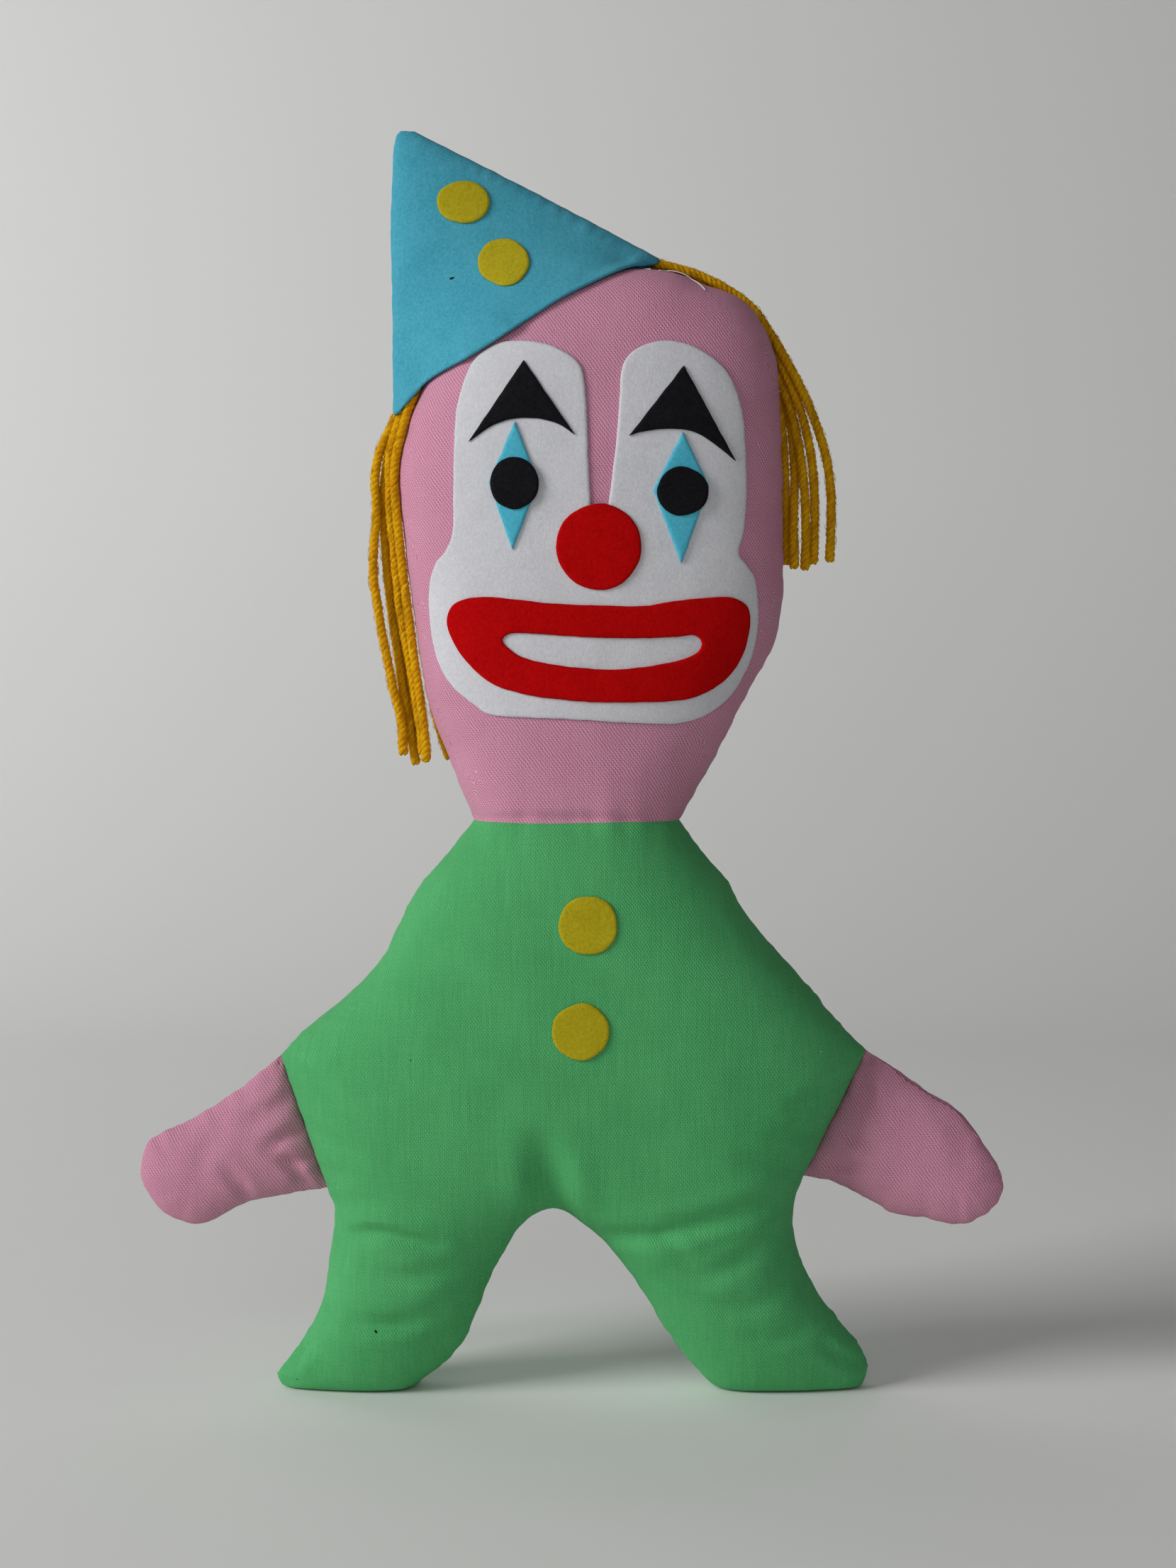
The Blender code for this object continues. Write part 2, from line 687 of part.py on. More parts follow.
rise = stuffed(flat, faces, 0.62, 30.0, fixed=on_seam) + 2 * seam
rise[sorted(on_seam)] = seam
hat_front = add_felt("hat_front", flat, faces, -1, face, "blue_felt", rise=rise)
hat_back = add_felt("hat_back", flat, faces, 1, [head_back], "blue_felt", rise=rise)
for name, spot in (
    ("hat_spot_upper", (-41.2, 450.8, 10.2, 8.2)),
    ("hat_spot_lower", (-26, 428, 9.8, 8.9)),
):
    spot = nearer(disc(*spot, 14), [hat_front])
    add_felt(name, *plan(spot, 7.0), -1, [hat_front], "yellow_felt")

for name, button in (
    ("button_upper", (6.4, 175.1, 11.4, 11.4)),
    ("button_lower", (3.5, 134.6, 11.1, 10.6)),
):
    button = nearer(disc(*button, 14), [torso_front])
    add_felt(name, *plan(button, 7.5), -1, [torso_front], "yellow_felt", "torso")

# Yarn hair, a lock at each end of the hat's lower edge. Each point is (x, z, y), with y the
# depth behind the seams.
locks = {
    "hair_right_1": [
        (-68.5, 364, -1.9), (-72.5, 352, -1.9), (-74.5, 335, -1.9), (-75, 318, -1.9),
        (-73, 297, -1.9), (-70.5, 277, -1.9), (-66.5, 257, -1.9), (-64.6, 240, -1.9),
    ],
    "hair_right_2": [
        (-68.5, 364, 1.9), (-70.8, 352, 1.9), (-71, 335, 1.9), (-71.3, 318, 1.9),
        (-69.5, 297, 1.9), (-66.8, 277, 1.9), (-63, 257, 1.9), (-60.9, 238.5, 1.9),
    ],
    "hair_right_3": [
        (-66, 363.5, -5.8), (-67.4, 352, -5.6), (-67.8, 335, -4.4), (-67.8, 318, -2.8),
        (-66, 297, -1.4), (-63.3, 277, -1.2), (-59.4, 257, -1.2), (-57.2, 236.5, -1.2),
    ],
    "hair_right_4": [
        (-62.8, 366.5, -7.6), (-63.8, 352, -9.8), (-64.1, 335, -8.8), (-64.3, 318, -7),
        (-62.6, 297, -5.4), (-59.9, 277, -4.6), (-56, 257, -4), (-53.7, 238.5, -3.6),
    ],
    "hair_right_5": [
        (-66.5, 364.5, 5.8), (-68, 352, 5.8), (-68, 335, 5.6), (-68, 318, 5.2),
        (-66.4, 297, 4.8), (-63.7, 277, 4.4), (-60, 257, 4.2), (-58.5, 244, 4.2),
    ],
    "hair_right_6": [
        (-61, 367, 8.5), (-61.2, 340, 13), (-59.5, 318, 13), (-57.5, 297, 13),
        (-54.3, 277, 13), (-50.5, 257, 12), (-47, 239, 10),
    ],
    "hair_left_1": [
        (39, 427, 1), (50, 423.6, 2), (57.5, 420.4, 3), (64.6, 415.8, 4.4),
        (70.3, 409.6, 4.8), (76.4, 401.6, 4.8), (81.3, 394.4, 4), (84.9, 386.3, 3),
        (88.9, 376.4, 2), (92.5, 366.6, 1), (97, 354, 0), (98.4, 345, 0), (98.4, 334, 0),
        (99, 322, 0), (97.9, 314.5, 0),
    ],
    "hair_left_2": [
        (39, 426.3, 4.8), (50, 422.4, 5.8), (57, 418.8, 6.8), (63.8, 414, 8.2),
        (69.4, 408, 8.6), (75.2, 400.6, 8.6), (80, 393.4, 7.9), (83.4, 385.6, 6.9),
        (87, 376, 5.8), (90, 366.4, 4.8), (93.6, 354, 3.8), (95, 345, 3.2),
        (95, 334, 2.8), (95.4, 322, 2.6), (94.6, 316, 2.6),
    ],
    "hair_left_3": [
        (39.5, 423.4, 8.8), (50, 419.8, 9.8), (57, 416, 10.8), (63, 411, 12),
        (68, 405.4, 12.4), (73.6, 398, 12.4), (78, 391, 11.6), (81.2, 384, 10.2),
        (84, 375, 8.4), (86.6, 366, 6.6), (89.2, 354, 4.6), (90.7, 345, 2.6),
        (90.8, 334, 1.2), (91.4, 322, 0.6), (90.9, 311.8, 0.6),
    ],
    "hair_left_4": [
        (40, 420.6, 12.6), (50, 417, 13.6), (57, 413.4, 14.8), (62.4, 408.4, 15.6),
        (67, 402.8, 16), (72, 396, 16), (75.8, 389.4, 15), (78.4, 383, 13.2),
        (80.4, 375, 11.2), (81.6, 366, 9.4), (82.2, 354, 7.8), (82.4, 342, 6.4),
        (82.6, 330, 5.6), (83.6, 320, 5), (84, 313, 5),
    ],
    "hair_left_5": [
        (41, 417, 16.2), (50, 413.8, 17.4), (56, 410.4, 18.6), (61, 405.6, 19.4),
        (65.4, 400, 19.8), (70.4, 393.4, 19.4), (75, 387, 18.2), (79, 381, 16.4),
        (82.4, 374, 14.4), (84.8, 366, 12.4), (86, 354, 9.4), (86.6, 342, 6.8),
        (87, 330, 4.4), (87.5, 320, 3), (87.6, 311, 2.6),
    ],
}
surfaces = [(head_front, -1), (head_back, 1), (mask_layer, -1), (hat_front, -1), (hat_back, 1)]
strands = []
for name, points in locks.items():
    strands.append(laid(points, surfaces, strands))
    add_strand(name, strands[-1], "right_hair" if "right" in name else "left_hair")
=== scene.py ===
import bpy
import numpy as np
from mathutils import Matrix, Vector, kdtree, noise
from mathutils.bvhtree import BVHTree
from mathutils.geometry import delaunay_2d_cdt


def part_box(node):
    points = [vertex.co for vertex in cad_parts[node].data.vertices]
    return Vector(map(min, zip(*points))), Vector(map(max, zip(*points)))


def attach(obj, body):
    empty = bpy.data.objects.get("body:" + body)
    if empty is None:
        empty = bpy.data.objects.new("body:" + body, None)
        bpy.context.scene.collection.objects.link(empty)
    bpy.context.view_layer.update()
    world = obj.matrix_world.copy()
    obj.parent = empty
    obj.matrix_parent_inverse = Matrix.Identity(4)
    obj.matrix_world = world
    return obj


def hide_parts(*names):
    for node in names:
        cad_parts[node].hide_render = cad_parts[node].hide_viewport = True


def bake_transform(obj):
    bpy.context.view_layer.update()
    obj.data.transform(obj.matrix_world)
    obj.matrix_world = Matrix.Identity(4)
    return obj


# A stuffed clown doll. Outlines are in millimetres, x to the doll's left and z up.
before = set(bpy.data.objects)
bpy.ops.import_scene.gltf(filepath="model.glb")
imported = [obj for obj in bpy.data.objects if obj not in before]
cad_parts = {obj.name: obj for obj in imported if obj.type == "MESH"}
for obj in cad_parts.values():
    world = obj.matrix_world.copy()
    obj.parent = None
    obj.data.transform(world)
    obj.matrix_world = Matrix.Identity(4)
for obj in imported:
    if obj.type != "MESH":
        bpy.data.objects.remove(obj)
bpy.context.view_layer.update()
scene = bpy.context.scene
mm = 0.001

# ---------- camera, lights, floor

studio = {
    "eye": (0.0063, -0.829, 0.229),
    "lens": 50.0,
    "lights": {  # watts, place, width
        "key": (93.0, (-3.0, -1.5, 1.6), 1.6),
        "fill": (7.5, (0.1, -2.2, 0.9), 1.6),
        "back": (2.0, (-1.3, 1.1, 1.3), 1.0),
    },
    "aimedAt": (0, 0, 0.22),
    "room": 0.085,
    "roomColor": (0.97, 0.985, 1, 1),
    "floorColor": (0.86, 0.86, 0.845, 1),
    "floorRough": 0.9,
    "floorSide": 3.0,
    "floorFront": -2.4,
    "floorBack": 1.7,
    "floorSweep": 0.6,
    "wallTop": 2.6,
    "floorDrop": 0.0002,  # keeps the floor from touching the soles
}
eyeAxis = np.array([studio["eye"][0], studio["eye"][2]]) / mm


def aimed(thing, target):
    way = Vector(target) - thing.location
    thing.rotation_euler = way.to_track_quat("-Z", "Y").to_euler()


def setStudio(s):
    camera = bpy.data.objects.new("camera", bpy.data.cameras.new("camera"))
    camera.data.lens = s["lens"]
    camera.data.sensor_width = 36
    camera.data.clip_start = 0.01
    camera.location = s["eye"]
    aimed(camera, (s["eye"][0], 0, s["eye"][2]))
    scene.collection.objects.link(camera)
    scene.camera = camera
    for name, (power, at, size) in s["lights"].items():
        light = bpy.data.objects.new(name, bpy.data.lights.new(name, "AREA"))
        light.data.energy = power
        light.data.size = size
        light.location = at
        aimed(light, s["aimedAt"])
        scene.collection.objects.link(light)
    world = bpy.data.worlds.new("room")
    world.use_nodes = True
    sky = world.node_tree.nodes["Background"].inputs
    sky["Color"].default_value = s["roomColor"]
    sky["Strength"].default_value = s["room"]
    scene.world = world
    scene.view_settings.view_transform = "Standard"
    # floor that sweeps up far behind the doll
    side, back, sweep = s["floorSide"], s["floorBack"], s["floorSweep"]
    turn = np.linspace(0, np.pi / 2, 13)
    bend = [(back - sweep + sweep * np.sin(a), sweep - sweep * np.cos(a)) for a in turn]
    path = [(s["floorFront"], 0.0), *bend, (back, s["wallTop"])]
    verts = [(x, y, z - s["floorDrop"]) for y, z in path for x in (-side, side)]
    faces = [(i, i + 1, i + 3, i + 2) for i in range(0, len(verts) - 2, 2)]
    mesh = bpy.data.meshes.new("floor")
    mesh.from_pydata(verts, [], faces)
    mesh.shade_smooth()
    floor = bpy.data.objects.new("floor", mesh)
    paper = bpy.data.materials.new("paper")
    paper.use_nodes = True
    shader = paper.node_tree.nodes["Principled BSDF"].inputs
    shader["Base Color"].default_value = s["floorColor"]
    shader["Roughness"].default_value = s["floorRough"]
    mesh.materials.append(paper)
    scene.collection.objects.link(floor)


setStudio(studio)
print("studio set")

# ---------- shader tools


def put(tree, kind, settings=None, feeds=()):
    made = tree.nodes.new(kind)
    made.location = (180 * (len(tree.nodes) % 12), -220 * (len(tree.nodes) // 12))
    for key, value in (settings or {}).items():
        setattr(made, key, value)
    for place, feed in feeds.items() if isinstance(feeds, dict) else enumerate(feeds):
        if isinstance(feed, bpy.types.NodeSocket):
            tree.links.new(feed, made.inputs[place])
        elif feed is not None:
            made.inputs[place].default_value = feed
    return made


def toolsFor(tree):
    # maths, scaling, noise and ranges, all made in one tree
    def maths(operation, *feeds):
        return put(tree, "ShaderNodeMath", {"operation": operation}, feeds).outputs[0]

    def scaled(vector, scale, operation="MULTIPLY", *more):
        made = put(tree, "ShaderNodeVectorMath", {"operation": operation}, [vector, scale, *more])
        return made.outputs[0]

    def grain(vector, scale, detail=2.0, rough=0.5, distort=0.0):
        feeds = {"Vector": vector, "Scale": scale, "Detail": detail, "Roughness": rough, "Distortion": distort}
        return put(tree, "ShaderNodeTexNoise", {}, feeds).outputs["Fac"]

    def ranged(value, low, high, toLow=0.0, toHigh=1.0):
        return put(tree, "ShaderNodeMapRange", {}, [value, low, high, toLow, toHigh]).outputs[0]

    return maths, scaled, grain, ranged


def newGroup(name, inputs, outputs):
    tree = bpy.data.node_groups.new(name, "ShaderNodeTree")
    for label, kind, value in inputs:
        socket = tree.interface.new_socket(name=label, in_out="INPUT", socket_type=kind)
        if value is not None:
            socket.default_value = value
    for label, kind in outputs:
        tree.interface.new_socket(name=label, in_out="OUTPUT", socket_type=kind)
    return tree, put(tree, "NodeGroupInput").outputs, put(tree, "NodeGroupOutput")


shadeAndHeight = [("Shade", "NodeSocketFloat"), ("Height", "NodeSocketFloat")]


def makeWeave():
    # diagonal ridges of a twill, with painted light on the ridges and painted shade in the valleys between them,
    # its threads uneven, over cloth measured in millimetres
    tree, given, out = newGroup(
        "twillWeave",
        [
            ("Cloth", "NodeSocketVector", None),
            ("Ridge", "NodeSocketFloat", 1.0),
            ("Contrast", "NodeSocketFloat", 0.8),
            ("Slub", "NodeSocketFloat", 0.3),
            ("Mottle", "NodeSocketFloat", 0.3),
        ],
        shadeAndHeight,
    )
    maths, scaled, grain, ranged = toolsFor(tree)

    def wave(turns):
        return maths("MULTIPLY_ADD", maths("SINE", turns), 0.5, 0.5)

    wander = put(tree, "ShaderNodeTexNoise", {}, {"Vector": given["Cloth"], "Scale": 0.22, "Detail": 2.0})
    bent = scaled(wander.outputs["Color"], (0.9, 0.9, 0.0), "MULTIPLY_ADD", given["Cloth"])
    split = put(tree, "ShaderNodeSeparateXYZ", {}, [bent]).outputs
    across = maths("ADD", maths("MULTIPLY", split[0], 0.809), maths("MULTIPLY", split[1], 0.588))
    ridge = wave(maths("DIVIDE", maths("MULTIPLY", across, 6.2832), given["Ridge"]))
    weft = wave(maths("MULTIPLY", split[1], 7.4))
    warp = wave(maths("MULTIPLY", split[0], 9.6))
    threads = maths("MULTIPLY_ADD", warp, 0.2, maths("MULTIPLY", weft, 0.25))
    height = maths("MULTIPLY_ADD", ridge, 0.55, threads)
    upright = grain(scaled(bent, (0.9, 0.05, 1.0)), 1.0, 3.0, 0.6)
    level = grain(scaled(bent, (0.05, 1.1, 1.0)), 1.0, 3.0, 0.6)
    slub = maths("SUBTRACT", maths("MULTIPLY_ADD", level, 0.45, upright), 0.72)
    flecks = grain(scaled(bent, (1.9, 1.5, 1.0)), 1.0, 2.0, 0.7)
    cloud = maths("SUBTRACT", grain(given["Cloth"], 0.035, 3.0), 0.5)
    # painted light and shade of the weave: the colour is lighter on the ridges and darker in the valleys, broken up
    # in patches by noise; Contrast sets how strongly it shows
    ridgeShadeBreakup = ranged(grain(scaled(bent, (0.16, 0.3, 1.0)), 1.0, 3.0, 0.6), 0.35, 0.65, 0.35, 1.35)
    raised = maths("MULTIPLY", maths("SUBTRACT", height, 0.5), ridgeShadeBreakup)
    shade = maths("MULTIPLY_ADD", raised, given["Contrast"], 0.5)
    shade = maths("MULTIPLY_ADD", slub, given["Slub"], shade)
    shade = maths("MULTIPLY_ADD", maths("SUBTRACT", flecks, 0.5), 0.5, shade)
    shade = maths("MULTIPLY_ADD", cloud, given["Mottle"], shade)
    rough = maths("MULTIPLY_ADD", slub, 0.5, maths("MULTIPLY_ADD", flecks, 0.3, height))
    tree.links.new(shade, out.inputs["Shade"])
    tree.links.new(rough, out.inputs["Height"])
    return tree


def makeFelt():
    # matted fibres of a pressed felt, over millimetres
    tree, given, out = newGroup(
        "feltFibre", [("Place", "NodeSocketVector", None), ("Mottle", "NodeSocketFloat", 0.4)], shadeAndHeight
    )
    maths, scaled, grain, ranged = toolsFor(tree)
    strokes = []
    for angle in (0.35, 1.25, 2.2, 2.95):
        feeds = {"Vector": given["Place"], "Angle": angle}
        turned = put(tree, "ShaderNodeVectorRotate", {"rotation_type": "Y_AXIS"}, feeds).outputs[0]
        wander = put(tree, "ShaderNodeTexNoise", {}, {"Vector": turned, "Scale": 0.5}).outputs["Color"]
        bent = scaled(wander, (1.2, 1.2, 1.2), "MULTIPLY_ADD", turned)
        strokes.append(grain(scaled(bent, (0.45, 3.2, 3.2)), 1.0, 2.0, 0.6))
    fibres = maths("MAXIMUM", maths("MAXIMUM", *strokes[:2]), maths("MAXIMUM", *strokes[2:]))
    fibres = ranged(fibres, 0.5, 0.8)
    lumps = grain(given["Place"], 0.9, 4.0, 0.6)
    cloud = maths("SUBTRACT", grain(given["Place"], 0.09, 4.0, 0.55), 0.5)
    shade = maths("MULTIPLY_ADD", fibres, 0.5, maths("MULTIPLY_ADD", lumps, 1.2, -0.35))
    shade = maths("MULTIPLY_ADD", cloud, given["Mottle"], shade)
    tree.links.new(shade, out.inputs["Shade"])
    tree.links.new(maths("MULTIPLY_ADD", fibres, 0.45, lumps), out.inputs["Height"])
    return tree


def makeFibre():
    # fine hairs along a yarn: x runs along it and y round it, in millimetres
    tree, given, out = newGroup("yarnFibre", [("Run", "NodeSocketVector", None)], shadeAndHeight)
    maths, scaled, grain, _ = toolsFor(tree)
    hairs = grain(scaled(given["Run"], (0.55, 4.2, 4.2)), 1.0, 3.0, 0.65, 0.3)
    lengths = grain(scaled(given["Run"], (0.07, 0.12, 0.1)), 1.0, 3.0)
    long = maths("MULTIPLY", maths("SUBTRACT", lengths, 0.55), 1.3)
    tree.links.new(maths("MULTIPLY_ADD", hairs, 1.1, long), out.inputs["Shade"])
    tree.links.new(hairs, out.inputs["Height"])
    return tree


def makeSpecks():
    # rare dark and pale bits of lint caught on a surface, over millimetres
    tree, given, out = newGroup(
        "lintSpecks",
        [
            ("Place", "NodeSocketVector", None),
            ("Spread", "NodeSocketFloat", 9.0),
            ("Size", "NodeSocketFloat", 0.035),
        ],
        [("Dark", "NodeSocketFloat"), ("Pale", "NodeSocketFloat")],
    )
    maths, scaled, _, ranged = toolsFor(tree)
    for label, shift in (("Dark", 0.0), ("Pale", 57.0)):
        moved = scaled(given["Place"], (shift, shift, shift), "ADD")
        small = scaled(moved, given["Spread"], "DIVIDE")
        cells = put(tree, "ShaderNodeTexVoronoi", {}, {"Vector": small, "Scale": 1.0}).outputs
        near = ranged(maths("SUBTRACT", given["Size"], cells["Distance"]), 0.0, 0.012)
        chance = put(tree, "ShaderNodeSeparateXYZ", {}, [cells["Color"]]).outputs[0]
        some = maths("GREATER_THAN", chance, 0.55)
        tree.links.new(maths("MULTIPLY", near, some), out.inputs[label])
    return tree


weaveGroup, feltGroup, fibreGroup, speckGroup = makeWeave(), makeFelt(), makeFibre(), makeSpecks()


def useGroup(tree, group, feeds):
    return put(tree, "ShaderNodeGroup", {"node_tree": group}, feeds).outputs


def mixed(tree, share, low, high):
    return put(tree, "ShaderNodeMix", {"data_type": "RGBA"}, {0: share, 6: low, 7: high}).outputs[2]


paleLint = (0.75, 0.73, 0.7, 1)


def surface(name, look, place, group, more, rough, sheenRough, specular, bumpDeep):
    # a material whose colour and relief come from one group laid over place
    material = bpy.data.materials.new(name)
    material.use_nodes = True
    tree = material.node_tree
    shader = tree.nodes["Principled BSDF"]
    for socket, value in (
        ("Roughness", rough), ("Sheen Weight", look["sheen"]),
        ("Sheen Roughness", sheenRough), ("Specular IOR Level", specular),
    ):
        shader.inputs[socket].default_value = value
    label, kind, settings, output, size = place
    source = put(tree, kind, settings).outputs[output]
    at = toolsFor(tree)[1](source, size)
    found = useGroup(tree, group, {label: at} | {key.capitalize(): look[key] for key in more})
    dark = look["dark"]
    color = mixed(tree, found["Shade"], (*dark, 1), (*look["light"], 1))
    if look.get("specks"):
        spread, speckSize = look["specks"]
        lint = useGroup(tree, speckGroup, {"Place": at, "Spread": spread, "Size": speckSize})
        color = mixed(tree, lint["Dark"], color, tuple(0.25 * c for c in dark) + (1,))
        color = mixed(tree, lint["Pale"], color, paleLint)
    tree.links.new(color, shader.inputs["Base Color"])
    feeds = {"Strength": look["bump"], "Distance": bumpDeep, "Height": found["Height"]}
    tree.links.new(put(tree, "ShaderNodeBump", {}, feeds).outputs[0], shader.inputs["Normal"])
    return material


def overUv(label, layer):
    return label, "ShaderNodeUVMap", {"uv_map": layer}, 0, (100.0, 100.0, 0.0)


def clothMaterial(name, look):
    more = ("ridge", "contrast", "slub", "mottle")
    return surface(name, look, overUv("Cloth", "clothPattern"), weaveGroup, more, look["rough"], 0.5, 0.12, 0.00035)


def feltMaterial(name, look):
    place = ("Place", "ShaderNodeTexCoord", {}, "Object", (1000.0, 1000.0, 1000.0))
    return surface(name, look, place, feltGroup, ("mottle",), 0.95, 0.6, 0.06, 0.0004)


def yarnMaterial(name, look):
    return surface(name, look, overUv("Run", "yarnRun"), fibreGroup, (), 0.85, 0.4, 0.06, 0.0004)


clothLooks = {
    "pinkTwill": {
        "dark": (0.44, 0.155, 0.24), "light": (0.76, 0.375, 0.505), "rough": 0.85, "sheen": 0.05, "ridge": 1.04,
        "contrast": 1.3, "slub": 0.14, "mottle": 0.35, "bump": 0.6, "specks": (24.0, 0.02),
    },
    "greenTwill": {
        "dark": (0.032, 0.28, 0.078), "light": (0.14, 0.56, 0.215), "rough": 0.85, "sheen": 0.02, "ridge": 0.9,
        "contrast": 0.5, "slub": 0.4, "mottle": 0.4, "bump": 0.6, "specks": (17.0, 0.025),
    },
}
usualFelt = {"mottle": 0.5, "bump": 0.5, "specks": (34.0, 0.012)}
feltLooks = {
    "whiteFelt": {
        "dark": (0.574, 0.574, 0.609), "light": (0.766, 0.766, 0.800), "sheen": 0.1, "bump": 0.45,
        "specks": (22.0, 0.02),
    },
    "blackFelt": {
        "dark": (0.003, 0.003, 0.004), "light": (0.016, 0.016, 0.018), "sheen": 0.02, "mottle": 0.4,
        "specks": (30.0, 0.012),
    },
    "blueFelt": {"dark": (0.034, 0.305, 0.425), "light": (0.115, 0.462, 0.585), "sheen": 0.05},
    "skyFelt": {"dark": (0.045, 0.40, 0.55), "light": (0.14, 0.60, 0.76), "sheen": 0.03},
    "redFelt": {"dark": (0.38, 0.0005, 0.001), "light": (0.64, 0.003, 0.004), "sheen": 0.0},
    "yellowFelt": {"dark": (0.38, 0.30, 0.004), "light": (0.60, 0.50, 0.022), "sheen": 0.04, "mottle": 0.6},
    "filling": {
        "dark": (0.70, 0.69, 0.64), "light": (0.9, 0.89, 0.86), "sheen": 0.3, "mottle": 0.6, "bump": 0.9,
        "specks": None,
    },
    "thread": {
        "dark": (0.7, 0.7, 0.7), "light": (0.9, 0.9, 0.9), "sheen": 0.2, "mottle": 0.2, "bump": 0.3,
        "specks": None,
    },
}
yarnLook = {"dark": (0.58, 0.21, 0.001), "light": (0.98, 0.60, 0.008), "sheen": 0.03, "bump": 0.9}
materials = {name: clothMaterial(name, look) for name, look in clothLooks.items()}
materials |= {name: feltMaterial(name, usualFelt | look) for name, look in feltLooks.items()}
materials["yarn"] = yarnMaterial("yarn", yarnLook)
print("materials made")

# ---------- flat shapes


def lengthsAlong(points):
    return np.concatenate([[0], np.cumsum(np.linalg.norm(np.diff(points, axis=0), axis=1))])


def units(rows):
    return rows / np.linalg.norm(rows, axis=1)[:, None]


def edgesOf(faces):
    return np.vstack([faces[:, [0, 1]], faces[:, [1, 2]], faces[:, [2, 0]]])


def rimOf(faces):
    # the edges that only one face has
    pairs = edgesOf(faces)
    _, first, count = np.unique(np.sort(pairs, axis=1), axis=0, return_index=True, return_counts=True)
    return pairs[first[count == 1]]


def turnOf(loop):
    # twice the area inside a loop, below nothing where it runs clockwise
    return (loop[:, 0] * np.roll(loop[:, 1], -1) - np.roll(loop[:, 0], -1) * loop[:, 1]).sum()


def smoothCurve(points, step, closed=False):
    p = np.array(points, float)
    if closed:
        p = np.vstack([p[-1:], p, p[:2]])
    elif len(p) == 2:
        p = np.vstack([p[:1], p, p[1:]])
    else:
        p = np.vstack([2 * p[0] - p[1], p, 2 * p[-1] - p[-2]])
    t = np.linspace(0, 1, 24, endpoint=False)[:, None]
    dense = [
        0.5 * (2 * b + (c - a) * t + (2 * a - 5 * b + 4 * c - d) * t**2 + (3 * b - a - 3 * c + d) * t**3)
        for a, b, c, d in zip(p, p[1:], p[2:], p[3:])
    ]
    dense = np.vstack([*dense, p[-2:-1]])
    far = lengthsAlong(dense)
    marks = np.linspace(0, far[-1], max(1, round(far[-1] / step)) + 1)
    return np.column_stack([np.interp(marks, far, dense[:, k]) for k in range(dense.shape[1])])


def runsOutline(runs, step):
    found, starts = [], []
    for run in runs:
        starts.append(sum(map(len, found)))
        found.append(smoothCurve(run, step)[:-1])
    return np.vstack(found), starts


def insideOf(points, loop):
    x, z = points.T
    found = np.zeros(len(x), bool)
    for (ax, az), (bx, bz) in zip(loop, np.roll(loop, -1, axis=0)):
        if az != bz:
            found ^= ((az > z) != (bz > z)) & (x < (bx - ax) * (z - az) / (bz - az) + ax)
    return found


def nearestOn(loop, points, pitch=0.4):
    # distance of each point from the loop, and how far along the loop the nearest place is
    ends = np.vstack([loop, loop[:1]])
    far = lengthsAlong(ends)
    marks = np.arange(0, far[-1], pitch)
    fine = np.column_stack([np.interp(marks, far, ends[:, 0]), np.interp(marks, far, ends[:, 1])])
    tree = kdtree.KDTree(len(fine))
    for i, (x, z) in enumerate(fine):
        tree.insert((x, z, 0), i)
    tree.balance()
    found = [tree.find((x, z, 0)) for x, z in points]
    return np.array([f[2] for f in found]), marks[[f[1] for f in found]]


def inwardNormals(loop, ease=2.0):
    # unit steps into the loop, eased round its corners
    edge = np.roll(loop, -1, axis=0) - np.roll(loop, 1, axis=0)
    way = units(np.column_stack([-edge[:, 1], edge[:, 0]]) * np.sign(turnOf(loop)))
    reach = int(ease * 3)
    weights = np.exp(-0.5 * (np.arange(-reach, reach + 1) / ease) ** 2)
    return units(sum(w * np.roll(way, k, axis=0) for k, w in zip(range(-reach, reach + 1), weights)))


def hexGrid(loop, step):
    low, high = loop.min(axis=0), loop.max(axis=0)
    row = step * 0.866
    i, j = np.meshgrid(np.arange(int((high[0] - low[0]) / step) + 2), np.arange(int((high[1] - low[1]) / row) + 2))
    return np.column_stack([(low[0] + step * (i + 0.5 * (j % 2))).ravel(), (low[1] + row * j).ravel()])


def gridIn(loop, step, clear):
    # loose points inside a loop, clear of its edge
    grid = hexGrid(loop, step)
    grid = grid[insideOf(grid, loop)]
    return grid[nearestOn(loop, grid)[0] > clear]


def rowsIn(loop, inward, steps, share):
    # rows of points beside a loop, without those that another stretch of it crowds
    rows = [loop + inward * away for away in steps]
    return [row[nearestOn(loop, row)[0] > share * away] for row, away in zip(rows, steps)]


def thinned(points, cell):
    # drops points that crowd one another
    _, first = np.unique(np.round(points / cell).astype(int), axis=0, return_index=True)
    return points[np.sort(first)]


def meshed(loops, loose, lines=()):
    # triangles between closed loops, through loose points; the first loop is the outside
    points, edges = [], []
    for loop in loops:
        first = len(points)
        points += [tuple(p) for p in loop]
        edges += [(first + i, first + (i + 1) % len(loop)) for i in range(len(loop))]
    for line in lines:
        edges += [(a, b) for a, b in zip(line, line[1:])]
    points += [tuple(p) for p in loose]
    found = delaunay_2d_cdt([Vector(p) for p in points], edges, [], 0, 1e-5)
    index = [o[0] if o else -1 for o in found[3]]
    flat = np.array(points, float)
    faces = np.array([[index[i] for i in f] for f in found[2] if all(index[i] >= 0 for i in f)])
    middle = flat[faces].mean(axis=1)
    keep = insideOf(middle, np.asarray(loops[0]))
    for hole in loops[1:]:
        keep &= ~insideOf(middle, np.asarray(hole))
    faces = faces[keep]
    a, b, c = (flat[faces[:, i]] for i in range(3))
    turn = (b - a)[:, 0] * (c - a)[:, 1] - (b - a)[:, 1] * (c - a)[:, 0]
    faces = np.where((turn < 0)[:, None], faces[:, ::-1], faces)
    return flat, faces[np.abs(turn) > 1e-9]


